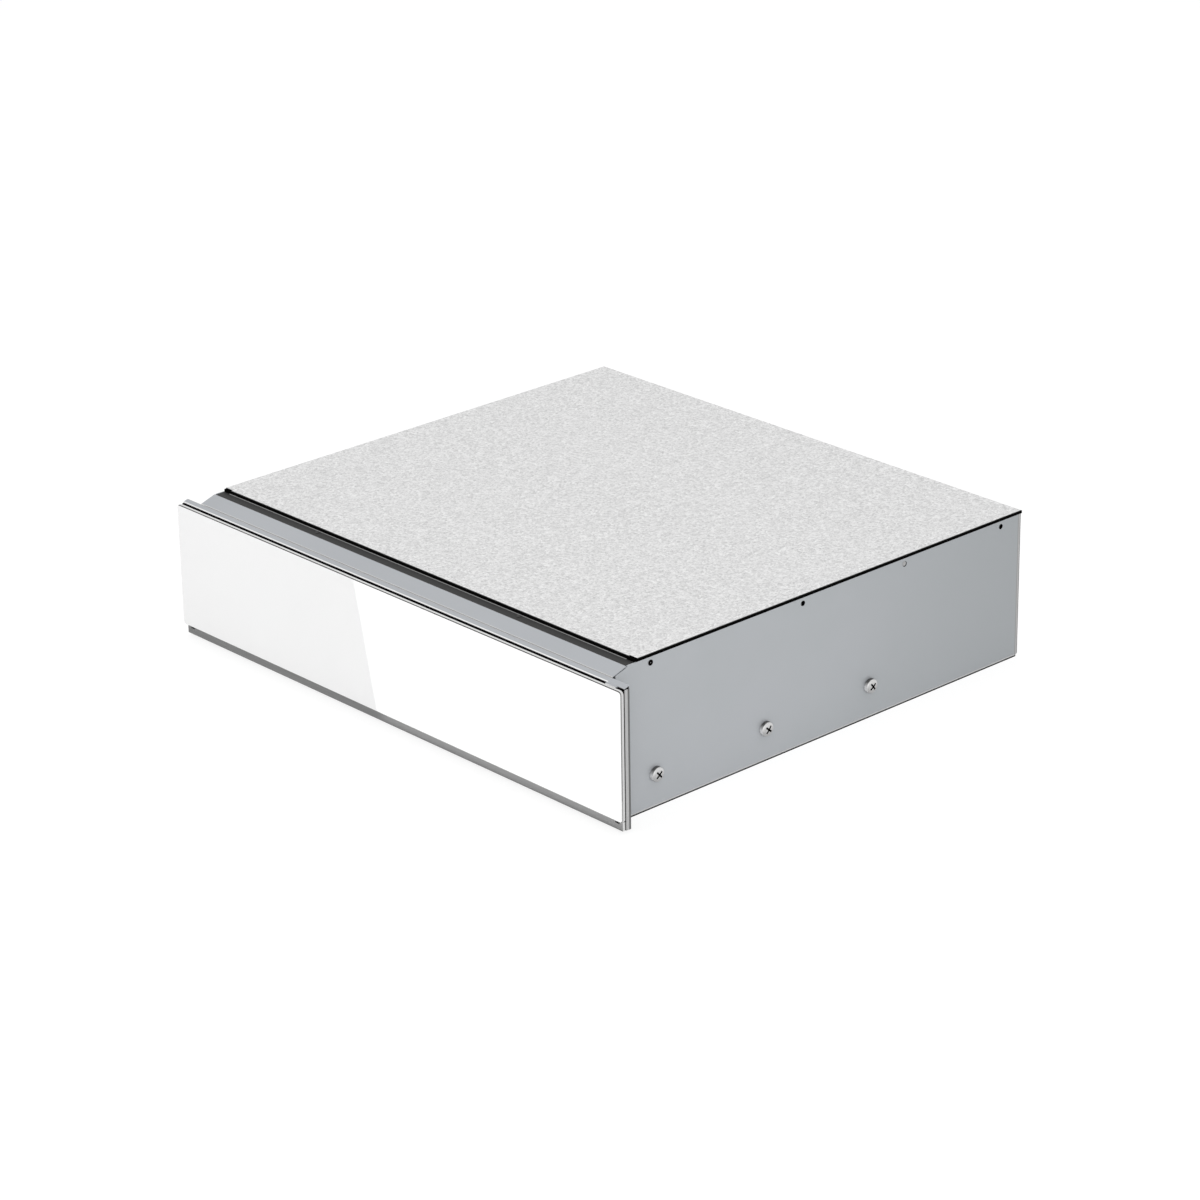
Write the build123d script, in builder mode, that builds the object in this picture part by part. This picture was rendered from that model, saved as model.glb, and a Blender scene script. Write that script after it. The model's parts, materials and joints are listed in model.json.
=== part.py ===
from build123d import *
import os
from math import cos, radians, sin

# Built-in warming drawer: a flat steel casing for a kitchen niche, with a drawer that
# runs on telescopic ball-bearing runners behind a handleless glass front.
# Millimetres. X to the right seen from the front, Y to the back, Z up.
# The origin lies under the middle of the whole object, on the surface it stands on.

# ---------------------------------------------------------------- driving dimensions
WIDTH = 595.0  # glass front, for a 600 mm cabinet
HEIGHT = 141.5  # the 14 cm niche class
DEPTH = 520.0  # glass face to the end of the cable bush
CASING_WIDTH = 550.8
CASING_BACK = 512.0  # behind the glass face
SHEET = 1.0
TOP_SHEET = 0.8

# glass front and the layers behind it, each as its distance behind the glass face
GLASS = 3.0
GLASS_BOTTOM = 11.5
GLASS_TOP = 130.4
CARRIER_WIDTH = 589.6
CARRIER_BOTTOM = 2.9
CARRIER_FACE = 3.4
CARRIER_BACK = 4.4
LIP_FACE = 2.8
LIP_BACK = 5.5
LIP_TOP = 11.2
FRAME_WIDTH = 591.6
FRAME_BOTTOM = 3.0
FRAME_TOP = 130.1
FRAME_FACE = 5.9
FRAME_BACK = 9.1
REAR_PLATE_BACK = 11.2

# bevelled cap on top of the front, as its section
CAP_FRONT = (5.8, 131.3)
CAP_BACK = (11.4, 133.0)
CAP_SHEET = 0.4

# casing
CASING_FRONT = 14.8  # leaves room for the front to be pushed in
SLOPE_FOOT = (11.2, 133.6)
SLOPE_HEAD = (26.9, 138.7)
SLOPE_SHEET = 0.4
LEDGE_TOP = 138.7
LEDGE_BACK = 38.2
PANEL_TOP = 138.8
LID_FRONT = 38.0
SEAL_BAND = 14.0
NOTCH = (9.9, 2.5)  # corner notch in the lid that the seal fills: across, and in depth

# runners: three nested members on each side
RUNNER_Z = 31.2
RUNNER_HEIGHT = 45.6
RUNNER_FRONT = 18.0
RUNNER_LENGTH = 450.0
RUNNER_DEEP = 12.7  # inwards from the side panel
RUNNER_SHEET = 1.2
RUNNER_SCREWS = (58.8, 188.0, 317.0)
RUNNER_SHANK = 3.0
SIDE_SCREWS = (54.2, 359.9)
SIDE_HOLES = (233.5, 485.0)
SIDE_FIXING_Z = 133.6
SIDE_SCREW = 1.6  # radii
SIDE_HOLE = 2.1
SHANK_SIDES = 8  # shanks and their holes are hidden under the heads, so they are prisms
SMALL_SIDES = 16  # sides of small heads and holes, and of the big screw heads
HEAD_SIDES = 24

# tub
TUB_FLOOR = 9.0
TUB_SIDE_TOP = 118.0
TUB_BACK = 412.0
TUB_BACK_TOP = 104.0

# hot air unit behind the tub
BAFFLE = 426.0
MOTOR_PLATE = 466.0
FAN_Z = 66.0
HEATER_RADIUS = 54.0
HEATER_TUBE = 3.3
HEATER_SIDES = 8

# controls on top of the drawer's front wall
FASCIA_TOP = 118.0
FASCIA_BOTTOM = 96.0
FASCIA_BACK = 45.0
KNOB = (190.0, 29.0)  # across, and behind the glass face
BUTTON = (120.0, 29.0)
LENS = (90.0, 29.0)

PANEL_X = CASING_WIDTH / 2
INNER_X = PANEL_X - SHEET
TUB_X = INNER_X - RUNNER_DEEP  # outer face of the tub's side

os.makedirs("parts", exist_ok=True)


def back(distance):
    """The Y of a point that lies this far behind the glass face."""
    return distance - DEPTH / 2


def facing(distance, x=0.0, z=0.0):
    """An upright plane that faces the front: its own axes are X and Z."""
    return Plane(origin=(x, back(distance), z), x_dir=(1, 0, 0), z_dir=(0, -1, 0))


def level(z, x=0.0, distance=DEPTH / 2):
    """A flat plane at height z, with its origin at x and a distance behind the glass."""
    return Plane(origin=(x, back(distance), z))


def yz(points):
    """Points given as (distance behind the glass, z), for a sketch in the YZ plane."""
    return [(back(d), z) for d, z in points]


def save(piece, label):
    piece.part.label = label
    export_step(piece.part, f"parts/{label}.step")


def save_mirrored(piece, label):
    """The same piece for the left side."""
    with BuildPart() as left:
        mirror(piece.part, about=Plane.YZ)
    save(left, label)


def slab(x0, x1, d0, d1, z0, z1):
    """A block between two x, two distances behind the glass and two heights."""
    with Locations(((x0 + x1) / 2, back((d0 + d1) / 2), (z0 + z1) / 2)):
        Box(x1 - x0, d1 - d0, z1 - z0)


def cut(x0, x1, d0, d1, z0, z1):
    """The same block, taken away."""
    with Locations(((x0 + x1) / 2, back((d0 + d1) / 2), (z0 + z1) / 2)):
        Box(x1 - x0, d1 - d0, z1 - z0, mode=Mode.SUBTRACT)


# ================================================================ casing
FOOT_HOLES = (470.0, 340.0, 2.25)  # spacing across, spacing in depth, radius
FOOT_HOLES_AT = 230.0  # the middle of the hole pattern, behind the glass face
CORNER = 2.5  # rounded lower back corner of the casing
BEND = 0.9  # the side panels' bent back edge
RIB = 1.2

with BuildPart() as base_plate:
    # flat sheet that the side panels stand on, its back edge turned up to the back panel
    slab(-PANEL_X, PANEL_X, CASING_FRONT, CASING_BACK - CORNER, 0, SHEET)
    with Locations(level(SHEET, 0, FOOT_HOLES_AT)):
        with GridLocations(FOOT_HOLES[0], FOOT_HOLES[1], 2, 2):
            Hole(FOOT_HOLES[2])
    # stiffening ribs pressed upwards along the depth
    for x in (-150, -50, 50, 150):
        slab(x - 8, x + 8, 70, 400, SHEET, SHEET + RIB)
    with BuildSketch(Plane.YZ):
        turned_up = [
            (CASING_BACK - CORNER, 0),
            (CASING_BACK, CORNER),
            (CASING_BACK, SHEET + CORNER),
            (CASING_BACK - SHEET, SHEET + CORNER),
            (CASING_BACK - CORNER, SHEET),
        ]
        with BuildLine():
            Polyline(*yz(turned_up), close=True)
        make_face()
    extrude(amount=INNER_X, both=True)
save(base_plate, "base_plate")


with BuildPart() as side_panel:
    # the outline is cut on the slope at the front top and rounded at the back foot
    slope = (SLOPE_HEAD[1] - SLOPE_FOOT[1]) / (SLOPE_HEAD[0] - SLOPE_FOOT[0])
    front_top = SLOPE_FOOT[1] + slope * (CASING_FRONT - SLOPE_FOOT[0]) - 1.2
    head = SLOPE_HEAD[1] - 1.2
    with BuildSketch(Plane.YZ.offset(INNER_X)):
        outline = [
            (CASING_FRONT, SHEET),
            (CASING_BACK, SHEET),
            (CASING_BACK, PANEL_TOP),
            (SLOPE_HEAD[0] + 1.0, PANEL_TOP),
            (SLOPE_HEAD[0] + 1.0, head),
            (CASING_FRONT, front_top),
        ]
        with BuildLine():
            Polyline(*yz(outline), close=True)
        make_face()
        fillet(vertices().group_by(Axis.X)[-1].sort_by(Axis.Y)[0], CORNER)
        with Locations(*[(back(d), RUNNER_Z) for d in RUNNER_SCREWS]):
            RegularPolygon(RUNNER_SHANK, SHANK_SIDES, mode=Mode.SUBTRACT)
        with Locations(*[(back(d), SIDE_FIXING_Z) for d in SIDE_SCREWS]):
            RegularPolygon(SIDE_SCREW, SHANK_SIDES, mode=Mode.SUBTRACT)
        with Locations(*[(back(d), SIDE_FIXING_Z) for d in SIDE_HOLES]):
            RegularPolygon(SIDE_HOLE, SMALL_SIDES, mode=Mode.SUBTRACT)
    extrude(amount=SHEET)
    rear_edges = side_panel.edges().filter_by(Axis.Z).group_by(Axis.Y)[-1]
    fillet(rear_edges.sort_by(Axis.X)[-1], BEND)
save(side_panel, "side_panel_right")
save_mirrored(side_panel, "side_panel_left")

GLAND = (200.0, 30.0)  # across and up
GLAND_BORE = 3.8
BACK_TOP = 138.0

with BuildPart() as back_panel:
    with BuildSketch(facing(CASING_BACK - SHEET)):
        foot = SHEET + CORNER
        with Locations((0, (foot + BACK_TOP) / 2)):
            Rectangle(2 * INNER_X, BACK_TOP - foot)
        # two rows of upright cooling slots behind the fan motor
        with Locations((0, 40), (0, 96)):
            with GridLocations(12, 1, 13, 1):
                Rectangle(5, 26, mode=Mode.SUBTRACT)
        with Locations(GLAND):
            Circle(8.0, mode=Mode.SUBTRACT)
    extrude(amount=-SHEET)
save(back_panel, "back_panel")

ANGLE = 12.0  # leg of the joining angles
with BuildPart() as joining_angles:
    # upright angles in the casing's back corners, and the one that holds the baffle
    for side in (-1, 1):
        leg = sorted((side * INNER_X, side * (INNER_X - SHEET)))
        other = sorted((side * INNER_X, side * (INNER_X - ANGLE)))
        wall = CASING_BACK - SHEET
        slab(*leg, wall - ANGLE, wall, 14.0, 122.0)
        slab(*other, wall - SHEET, wall, 14.0, 122.0)
    foot_face = BAFFLE + SHEET
    slab(-180, 180, foot_face, foot_face + ANGLE - SHEET, SHEET, 2 * SHEET)
    slab(-180, 180, foot_face, foot_face + SHEET, SHEET, ANGLE)
save(joining_angles, "joining_angles")

with BuildPart() as cable_gland:
    # snap bush: outer collar, barrel through the panel, and an inner nut
    with BuildSketch(facing(CASING_BACK, *GLAND)):
        Circle(12.0)
    extrude(amount=-(DEPTH - CASING_BACK))
    with BuildSketch(facing(CASING_BACK - SHEET, *GLAND)):
        Circle(8.0)
    extrude(amount=-SHEET)
    with BuildSketch(facing(CASING_BACK - SHEET - 7, *GLAND)):
        RegularPolygon(11.0, 6)
    extrude(amount=-7)
    with BuildSketch(facing(CASING_BACK - SHEET - 7, *GLAND)):
        Circle(GLAND_BORE)
    extrude(amount=-30, mode=Mode.SUBTRACT)
save(cable_gland, "cable_gland")

FRAME_LEG = 14.0  # height of the top frame's upright leg
with BuildPart() as top_frame:
    # angle-section ring inside the top of the casing, which carries the lid
    frame_z = PANEL_TOP - SHEET
    slab(-INNER_X, INNER_X, 40, CASING_BACK - SHEET, frame_z - FRAME_LEG, PANEL_TOP)
    inner = INNER_X - SHEET
    cut(-inner, inner, 40 + SHEET, CASING_BACK - 2 * SHEET, 0, frame_z)
    open_x = INNER_X - SEAL_BAND
    cut(-open_x, open_x, 40 + SEAL_BAND, CASING_BACK - SEAL_BAND, 0, PANEL_TOP)
    # no upright leg at the back, and a short one in front, over the controls' path
    cut(-inner, inner, CASING_BACK - SEAL_BAND, CASING_BACK, 0, frame_z)
    cut(-inner, inner, 39, 40 + SEAL_BAND, 0, 130.5)
    with BuildSketch(Plane.YZ):
        with Locations(*[(back(d), SIDE_FIXING_Z) for d in SIDE_SCREWS]):
            RegularPolygon(SIDE_SCREW, SHANK_SIDES)
        with Locations(*[(back(d), SIDE_FIXING_Z) for d in SIDE_HOLES]):
            RegularPolygon(SIDE_HOLE + 0.4, SHANK_SIDES)
    extrude(amount=PANEL_X, both=True, mode=Mode.SUBTRACT)
save(top_frame, "top_frame")

LID_TOP = HEIGHT
LID_BOTTOM = HEIGHT - TOP_SHEET
SEAL_X = PANEL_X - 0.2
SEAL_BLOCK = (1.4, NOTCH[0])  # each corner block, measured inwards from the panel
with BuildPart() as top_seal:
    # flat black band between the casing's rim and the lid, with a block in each
    # front corner that fills the lid's notch
    slab(-SEAL_X, SEAL_X, LID_FRONT + 0.5, CASING_BACK, PANEL_TOP, LID_BOTTOM)
    open_x = SEAL_X - SEAL_BAND
    cut(-open_x, open_x, LID_FRONT + SEAL_BAND, CASING_BACK - SEAL_BAND, 0, HEIGHT)
    for side in (-1, 1):
        block = sorted(side * (PANEL_X - inset) for inset in SEAL_BLOCK)
        slab(*block, 37.2, LID_FRONT + NOTCH[1], PANEL_TOP, LID_TOP - 0.1)
save(top_seal, "top_seal")

with BuildPart() as top_plate:
    with BuildSketch(level(LID_BOTTOM)):
        with BuildLine():
            y0 = back(LID_FRONT)
            y1 = back(CASING_BACK + 0.8)
            notch_y = y0 + NOTCH[1]
            notch_x = PANEL_X - NOTCH[0]
            Polyline(
                (-notch_x, y0),
                (notch_x, y0),
                (notch_x, notch_y),
                (PANEL_X, notch_y),
                (PANEL_X, y1),
                (-PANEL_X, y1),
                (-PANEL_X, notch_y),
                (-notch_x, notch_y),
                close=True,
            )
        make_face()
    extrude(amount=TOP_SHEET)
save(top_plate, "top_plate")

CROSSBAR_TOP = 136.7
LEDGE_SCREW = (135.0, 34.0)  # across, and behind the glass face
LEDGE_SHANK = 1.5
with BuildPart() as front_crossbar:
    # angle that ties the side panels together under the ledge
    with BuildSketch(Plane.YZ):
        with BuildLine():
            FilletPolyline(
                (back(28.5), CROSSBAR_TOP),
                (back(38.0), CROSSBAR_TOP),
                (back(38.0), 129.6),
                radius=1.6,
            )
            offset(amount=SHEET, side=Side.RIGHT)
        make_face()
    extrude(amount=INNER_X, both=True)
    with BuildSketch(level(CROSSBAR_TOP, 0, LEDGE_SCREW[1])):
        with GridLocations(2 * LEDGE_SCREW[0], 1, 2, 1):
            RegularPolygon(LEDGE_SHANK, SHANK_SIDES)
    extrude(amount=-2 * SHEET, mode=Mode.SUBTRACT)
save(front_crossbar, "front_crossbar")

with BuildPart() as front_slope_trim:
    # folded sheet: the slope that is seen, then a step down and a leg under the ledge
    with BuildSketch(Plane.YZ):
        with BuildLine():
            Polyline(
                (back(SLOPE_FOOT[0]), SLOPE_FOOT[1]),
                (back(SLOPE_HEAD[0]), SLOPE_HEAD[1]),
                (back(SLOPE_HEAD[0]), CROSSBAR_TOP + SLOPE_SHEET),
                (back(36.0), CROSSBAR_TOP + SLOPE_SHEET),
            )
            offset(amount=SLOPE_SHEET, side=Side.RIGHT, kind=Kind.INTERSECTION)
        make_face()
    extrude(amount=PANEL_X, both=True)
    # behind the slope the leg is only as wide as the room between the side panels
    for side in (-1, 1):
        block = sorted((side * (INNER_X - 0.2), side * (PANEL_X + 1)))
        cut(*block, SLOPE_HEAD[0] - 0.6, 60, 100, 137.9)
    with BuildSketch(level(CROSSBAR_TOP + 2 * SLOPE_SHEET, 0, LEDGE_SCREW[1])):
        with GridLocations(2 * LEDGE_SCREW[0], 1, 2, 1):
            RegularPolygon(LEDGE_SHANK, SHANK_SIDES)
    extrude(amount=-3 * SLOPE_SHEET, mode=Mode.SUBTRACT)
save(front_slope_trim, "front_slope_trim")

LEDGE_X = PANEL_X - 1.5
with BuildPart() as ledge_strip:
    # black moulded strip with a fine raised line near its back
    ledge_bottom = CROSSBAR_TOP + SLOPE_SHEET
    slab(-LEDGE_X, LEDGE_X, SLOPE_HEAD[0] + 0.1, 36.1, ledge_bottom, LEDGE_TOP)
    slab(-LEDGE_X, LEDGE_X, 36.1, 37.0, ledge_bottom, LEDGE_TOP + 0.4)
    slab(-LEDGE_X, LEDGE_X, 37.0, LEDGE_BACK, ledge_bottom, LEDGE_TOP)
    with BuildSketch(level(LEDGE_TOP + 1, 0, LEDGE_SCREW[1])):
        with GridLocations(2 * LEDGE_SCREW[0], 1, 2, 1):
            RegularPolygon(LEDGE_SHANK, SHANK_SIDES)
    extrude(amount=-4, mode=Mode.SUBTRACT)
    for side in (-1, 1):
        block = sorted((side * (PANEL_X - NOTCH[0] - 0.2), side * PANEL_X))
        cut(*block, 36.0, LEDGE_BACK, LEDGE_TOP, LEDGE_TOP + 1)
save(ledge_strip, "ledge_strip")

with BuildPart() as ledge_screws:
    with BuildSketch(level(LEDGE_TOP, 0, LEDGE_SCREW[1])):
        with GridLocations(2 * LEDGE_SCREW[0], 1, 2, 1):
            RegularPolygon(2.0, SMALL_SIDES)
    extrude(amount=0.5)
    with BuildSketch(level(LEDGE_TOP, 0, LEDGE_SCREW[1])):
        with GridLocations(2 * LEDGE_SCREW[0], 1, 2, 1):
            RegularPolygon(LEDGE_SHANK, SHANK_SIDES)
    extrude(amount=CROSSBAR_TOP - SHEET - LEDGE_TOP - 3.0)
save(ledge_screws, "ledge_screws")

with BuildPart() as top_frame_screws:
    for side in (-1, 1):
        for d in SIDE_SCREWS:
            outward = Plane(
                origin=(side * PANEL_X, back(d), SIDE_FIXING_Z),
                x_dir=(0, side, 0),
                z_dir=(side, 0, 0),
            )
            with BuildSketch(outward):
                RegularPolygon(2.5, SMALL_SIDES)
            extrude(amount=0.7)
            with BuildSketch(outward.offset(0.3)):
                RegularPolygon(1.4, 6)
            extrude(amount=1, mode=Mode.SUBTRACT)
            with BuildSketch(outward):
                RegularPolygon(SIDE_SCREW, SHANK_SIDES)
            extrude(amount=-2 * SHEET)
save(top_frame_screws, "top_frame_screws")

# ================================================================ runners
SCREW_HEAD = 6.7
SCREW_RIM = 3.3
SCREW_HIGH = 5.0

with BuildPart() as rail_screws:
    for d in RUNNER_SCREWS:
        outward = Plane(
            origin=(PANEL_X, back(d), RUNNER_Z), x_dir=(0, 1, 0), z_dir=(1, 0, 0)
        )
        # pan head: a straight rim, then a slope up to the flat top
        with BuildSketch(outward):
            RegularPolygon(SCREW_HEAD, HEAD_SIDES)
        extrude(amount=SCREW_RIM)
        with BuildSketch(outward.offset(SCREW_RIM)):
            RegularPolygon(SCREW_HEAD, HEAD_SIDES)
        extrude(amount=SCREW_HIGH - SCREW_RIM, taper=55)
        with BuildSketch(outward):
            RegularPolygon(RUNNER_SHANK, SHANK_SIDES)
        extrude(amount=-(SHEET + RUNNER_SHEET))
        # cross recess
        with BuildSketch(outward.offset(3.0)):
            Rectangle(6.0, 1.3, rotation=20)
            Rectangle(6.0, 1.3, rotation=110)
        extrude(amount=4.0, mode=Mode.SUBTRACT)
save(rail_screws, "rail_screws_right")
save_mirrored(rail_screws, "rail_screws_left")


def runner_points(points):
    """Section points as (depth from the side panel, height from the runner's middle)."""
    return [(INNER_X - u, RUNNER_Z + v) for u, v in points]


HALF = RUNNER_HEIGHT / 2
LIP = 4.3
OUTER_DEEP = RUNNER_DEEP - 0.5
with BuildPart() as rail_outer:
    # channel with returned lips, fixed to the side panel by the big screws
    with BuildSketch(facing(RUNNER_FRONT)):
        with BuildLine():
            FilletPolyline(
                *runner_points(
                    [
                        (OUTER_DEEP, LIP - HALF),
                        (OUTER_DEEP, -HALF),
                        (0, -HALF),
                        (0, HALF),
                        (OUTER_DEEP, HALF),
                        (OUTER_DEEP, HALF - LIP),
                    ]
                ),
                radius=1.8,
            )
            offset(amount=RUNNER_SHEET, side=Side.LEFT)
        make_face()
    extrude(amount=-RUNNER_LENGTH)
    with BuildSketch(Plane.YZ.offset(INNER_X)):
        with Locations(*[(back(d), RUNNER_Z) for d in RUNNER_SCREWS]):
            RegularPolygon(RUNNER_SHANK, SHANK_SIDES)
    extrude(amount=-2 * RUNNER_SHEET, mode=Mode.SUBTRACT)
save(rail_outer, "rail_outer_right")
save_mirrored(rail_outer, "rail_outer_left")

with BuildPart() as rail_mid:
    # middle member: a web with a ball race hooked over each of its four edges
    with BuildSketch(facing(RUNNER_FRONT + 1)):
        with BuildLine():
            web = [(6.0, -19.6), (7.2, -19.6), (7.2, 19.6), (6.0, 19.6)]
            Polyline(*runner_points(web), close=True)
        make_face()
        for end in (-1, 1):
            with BuildLine():
                Polyline(
                    *runner_points(
                        [
                            (1.6, end * 16.4),
                            (1.6, end * 20.8),
                            (10.6, end * 20.8),
                            (10.6, end * 16.4),
                            (9.4, end * 16.4),
                            (9.4, end * 19.6),
                            (2.8, end * 19.6),
                            (2.8, end * 16.4),
                        ]
                    ),
                    close=True,
                )
            make_face()
    extrude(amount=-(RUNNER_LENGTH - 2))
save(rail_mid, "rail_mid_right")
save_mirrored(rail_mid, "rail_mid_left")

with BuildPart() as rail_inner:
    # inner member, screwed to the tub's side
    with BuildSketch(facing(RUNNER_FRONT - 2)):
        with BuildLine():
            FilletPolyline(
                *runner_points([(8.2, -14), (RUNNER_DEEP, -14), (RUNNER_DEEP, 14), (8.2, 14)]),
                radius=1.8,
            )
            offset(amount=RUNNER_SHEET, side=Side.RIGHT)
        make_face()
    extrude(amount=-RUNNER_LENGTH)
save(rail_inner, "rail_inner_right")
save_mirrored(rail_inner, "rail_inner_left")

# ================================================================ heat shield, hot air
with BuildPart() as heat_shield:
    # shallow tray over the tub, hung from the top frame by its side flanges
    shield_x = INNER_X - SEAL_BAND + 2
    with BuildSketch(facing(50)):
        with BuildLine():
            FilletPolyline(
                (-shield_x, PANEL_TOP - SHEET),
                (-shield_x, 124.0),
                (shield_x, 124.0),
                (shield_x, PANEL_TOP - SHEET),
                radius=2.5,
            )
            offset(amount=0.8, side=Side.LEFT)
        make_face()
    extrude(amount=-372)
save(heat_shield, "heat_shield")

with BuildPart() as insulation_pad:
    # mineral wool lying in the tray
    with BuildSketch(level(124.8, 0, 236)):
        RectangleRounded(2 * (shield_x - 5), 356, 6)
    extrude(amount=11.0)
save(insulation_pad, "insulation_pad")

BAFFLE_X = 258.0
LATCH_X = -200.0
with BuildPart() as rear_baffle:
    # partition behind the tub, with the fan's intake grille and two hot air outlets
    with BuildSketch(facing(BAFFLE)):
        with Locations((0, (SHEET + 123.0) / 2)):
            Rectangle(2 * BAFFLE_X, 123.0 - SHEET)
        with Locations((0, FAN_Z)):
            with PolarLocations(24, 12):
                Rectangle(16, 4.5, mode=Mode.SUBTRACT)
        for x in (-125, 125):
            with Locations((x, FAN_Z)):
                with GridLocations(1, 14, 1, 5):
                    Rectangle(64, 7, mode=Mode.SUBTRACT)
        with Locations((LATCH_X, 16)):
            Rectangle(36, 34, mode=Mode.SUBTRACT)
    extrude(amount=-SHEET)
save(rear_baffle, "rear_baffle")

SHAFT = 2.5
with BuildPart() as motor_plate:
    with BuildSketch(facing(MOTOR_PLATE)):
        with Locations((0, (SHEET + 122.0) / 2)):
            Rectangle(190, 122.0 - SHEET)
        with Locations((0, FAN_Z)):
            Circle(8, mode=Mode.SUBTRACT)
            with PolarLocations(40, 8, start_angle=22.5):
                Rectangle(5, 12, mode=Mode.SUBTRACT)
    extrude(amount=-1.5)
    slab(-85, 85, MOTOR_PLATE + 1.5, MOTOR_PLATE + 14, SHEET, 2.5)
save(motor_plate, "motor_plate")

MOTOR = MOTOR_PLATE + 1.5
with BuildPart() as fan_motor:
    # round can with a bearing boss on both ends and two mounting ears
    with BuildSketch(facing(MOTOR, 0, FAN_Z)):
        Circle(27)
        Rectangle(70, 10)
    extrude(amount=-3)
    with BuildSketch(facing(MOTOR + 3, 0, FAN_Z)):
        Circle(24)
    extrude(amount=-22)
    with BuildSketch(facing(MOTOR + 25, 0, FAN_Z)):
        Circle(7)
    extrude(amount=-5)
    with BuildSketch(facing(MOTOR, 0, FAN_Z)):
        Circle(SHAFT + 0.05)
    extrude(amount=-18, mode=Mode.SUBTRACT)
save(fan_motor, "fan_motor")

FAN = 440.0
FAN_RADIUS = 44.0
BLADES = 12
with BuildPart() as fan_wheel:
    # radial wheel: back disc, hub and blades curved against the turn
    with BuildSketch(facing(FAN + 18, 0, FAN_Z)):
        Circle(FAN_RADIUS)
    extrude(amount=-1.2)
    with BuildSketch(facing(FAN + 4, 0, FAN_Z)):
        Circle(9)
    extrude(amount=-14)
    with BuildSketch(facing(FAN, 0, FAN_Z)):
        with PolarLocations(0, BLADES):
            with BuildLine():
                ThreePointArc((17, 0), (31, 4.5), (43, 14))
                Line((43, 14), (42.4, 14.9))
                ThreePointArc((42.4, 14.9), (30.6, 5.5), (17, 1.0))
                Line((17, 1.0), (17, 0))
            make_face()
    extrude(amount=-18)
    with BuildSketch(facing(FAN, 0, FAN_Z)):
        Circle(SHAFT)
    extrude(amount=-30, mode=Mode.SUBTRACT)
save(fan_wheel, "fan_wheel")

with BuildPart() as fan_shaft:
    with BuildSketch(facing(FAN + 3, 0, FAN_Z)):
        Circle(SHAFT)
    extrude(amount=-(MOTOR + 17 - FAN - 3))
save(fan_shaft, "fan_shaft")

HEATER = FAN + 10
COLD_END = 3.8  # half the width of the posts that hold the ring's two ends
HEATER_FROM = -69  # angles of the ring's two ends; the gap between them is at the bottom
HEATER_TO = 249
HEATER_RUNS = 20
with BuildPart() as heating_element:
    # tubular element bent round the fan wheel in short runs, eight-sided in section,
    # its two ends held by posts that run back to the motor plate
    step = (HEATER_TO - HEATER_FROM) / HEATER_RUNS
    angles = [radians(HEATER_FROM + step * i) for i in range(HEATER_RUNS + 1)]
    round_fan = [
        (HEATER_RADIUS * cos(a), back(HEATER), FAN_Z + HEATER_RADIUS * sin(a)) for a in angles
    ]
    with BuildLine():
        ring = Polyline(*round_fan)
    with BuildSketch(Plane(origin=ring @ 0, z_dir=ring % 0)):
        RegularPolygon(HEATER_TUBE, HEATER_SIDES)
    sweep(path=ring, transition=Transition.RIGHT)
    post = MOTOR_PLATE - HEATER + COLD_END
    for point, away in ((ring @ 0, (ring % 0) * -1), (ring @ 1, ring % 1)):
        with BuildSketch(Plane(origin=point, x_dir=(0, 1, 0), z_dir=away)):
            with Locations((post / 2 - COLD_END, 0)):
                Rectangle(post, 2 * COLD_END)
        extrude(amount=2 * COLD_END)
save(heating_element, "heating_element")

with BuildPart() as thermal_cutout:
    # disc thermostat with two blade terminals, on the back of the baffle
    with BuildSketch(facing(BAFFLE + SHEET, -70, 106)):
        Circle(8)
        Rectangle(32, 8)
    extrude(amount=-1)
    with BuildSketch(facing(BAFFLE + SHEET + 1, -70, 106)):
        Circle(8)
    extrude(amount=-9)
    for x in (-73.5, -66.5):
        slab(x - 0.4, x + 0.4, BAFFLE + 11, BAFFLE + 19, 103, 109)
save(thermal_cutout, "thermal_cutout")

TERMINALS = 4
with BuildPart() as terminal_block:
    # mains terminals beside the cable bush
    slab(138, 178, 478, 498, SHEET, 16)
    with BuildSketch(level(16, 158, 488)):
        with GridLocations(9, 12, TERMINALS, 2):
            Rectangle(4.4, 4.4)
    extrude(amount=-8, mode=Mode.SUBTRACT)
    for x in (144.0, 153.0, 163.0, 172.0):
        slab(x - 0.5, x + 0.5, 478, 498, 16, 19)
save(terminal_block, "terminal_block")

LATCH = 423.0
PLUNGER = 4.0
with BuildPart() as latch_body:
    # touch latch: moulded body, bored for its plunger
    with BuildSketch(level(SHEET, LATCH_X, LATCH + 18.5)):
        Rectangle(30, 37)
    extrude(amount=30)
    chamfer(latch_body.faces().sort_by(Axis.Z)[-1].edges(), 1.5)
    with BuildSketch(facing(LATCH, LATCH_X, 18)):
        Circle(PLUNGER + 0.1)
    extrude(amount=-24, mode=Mode.SUBTRACT)
save(latch_body, "latch_body")

PLUNGER_TIP = 417.5
with BuildPart() as latch_plunger:
    with BuildSketch(facing(PLUNGER_TIP, LATCH_X, 18)):
        Circle(PLUNGER)
    extrude(amount=-(LATCH + 19 - PLUNGER_TIP))
save(latch_plunger, "latch_plunger")

# ================================================================ drawer front
HALF_FRONT = WIDTH / 2
HALF_CARRIER = CARRIER_WIDTH / 2
with BuildPart() as front_glass:
    with BuildSketch(facing(0, 0, (GLASS_BOTTOM + GLASS_TOP) / 2)):
        RectangleRounded(WIDTH, GLASS_TOP - GLASS_BOTTOM, 3.5)
    extrude(amount=-GLASS)
    chamfer(front_glass.faces().sort_by(Axis.Y)[0].edges(), 0.7)
save(front_glass, "front_glass")

with BuildPart() as glass_bond:
    # black bonding tape round the back of the glass
    slab(-288, 288, GLASS, CARRIER_FACE, 15, 127)
    cut(-270, 270, 0, 20, 33, 109)
save(glass_bond, "glass_bond")

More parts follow.
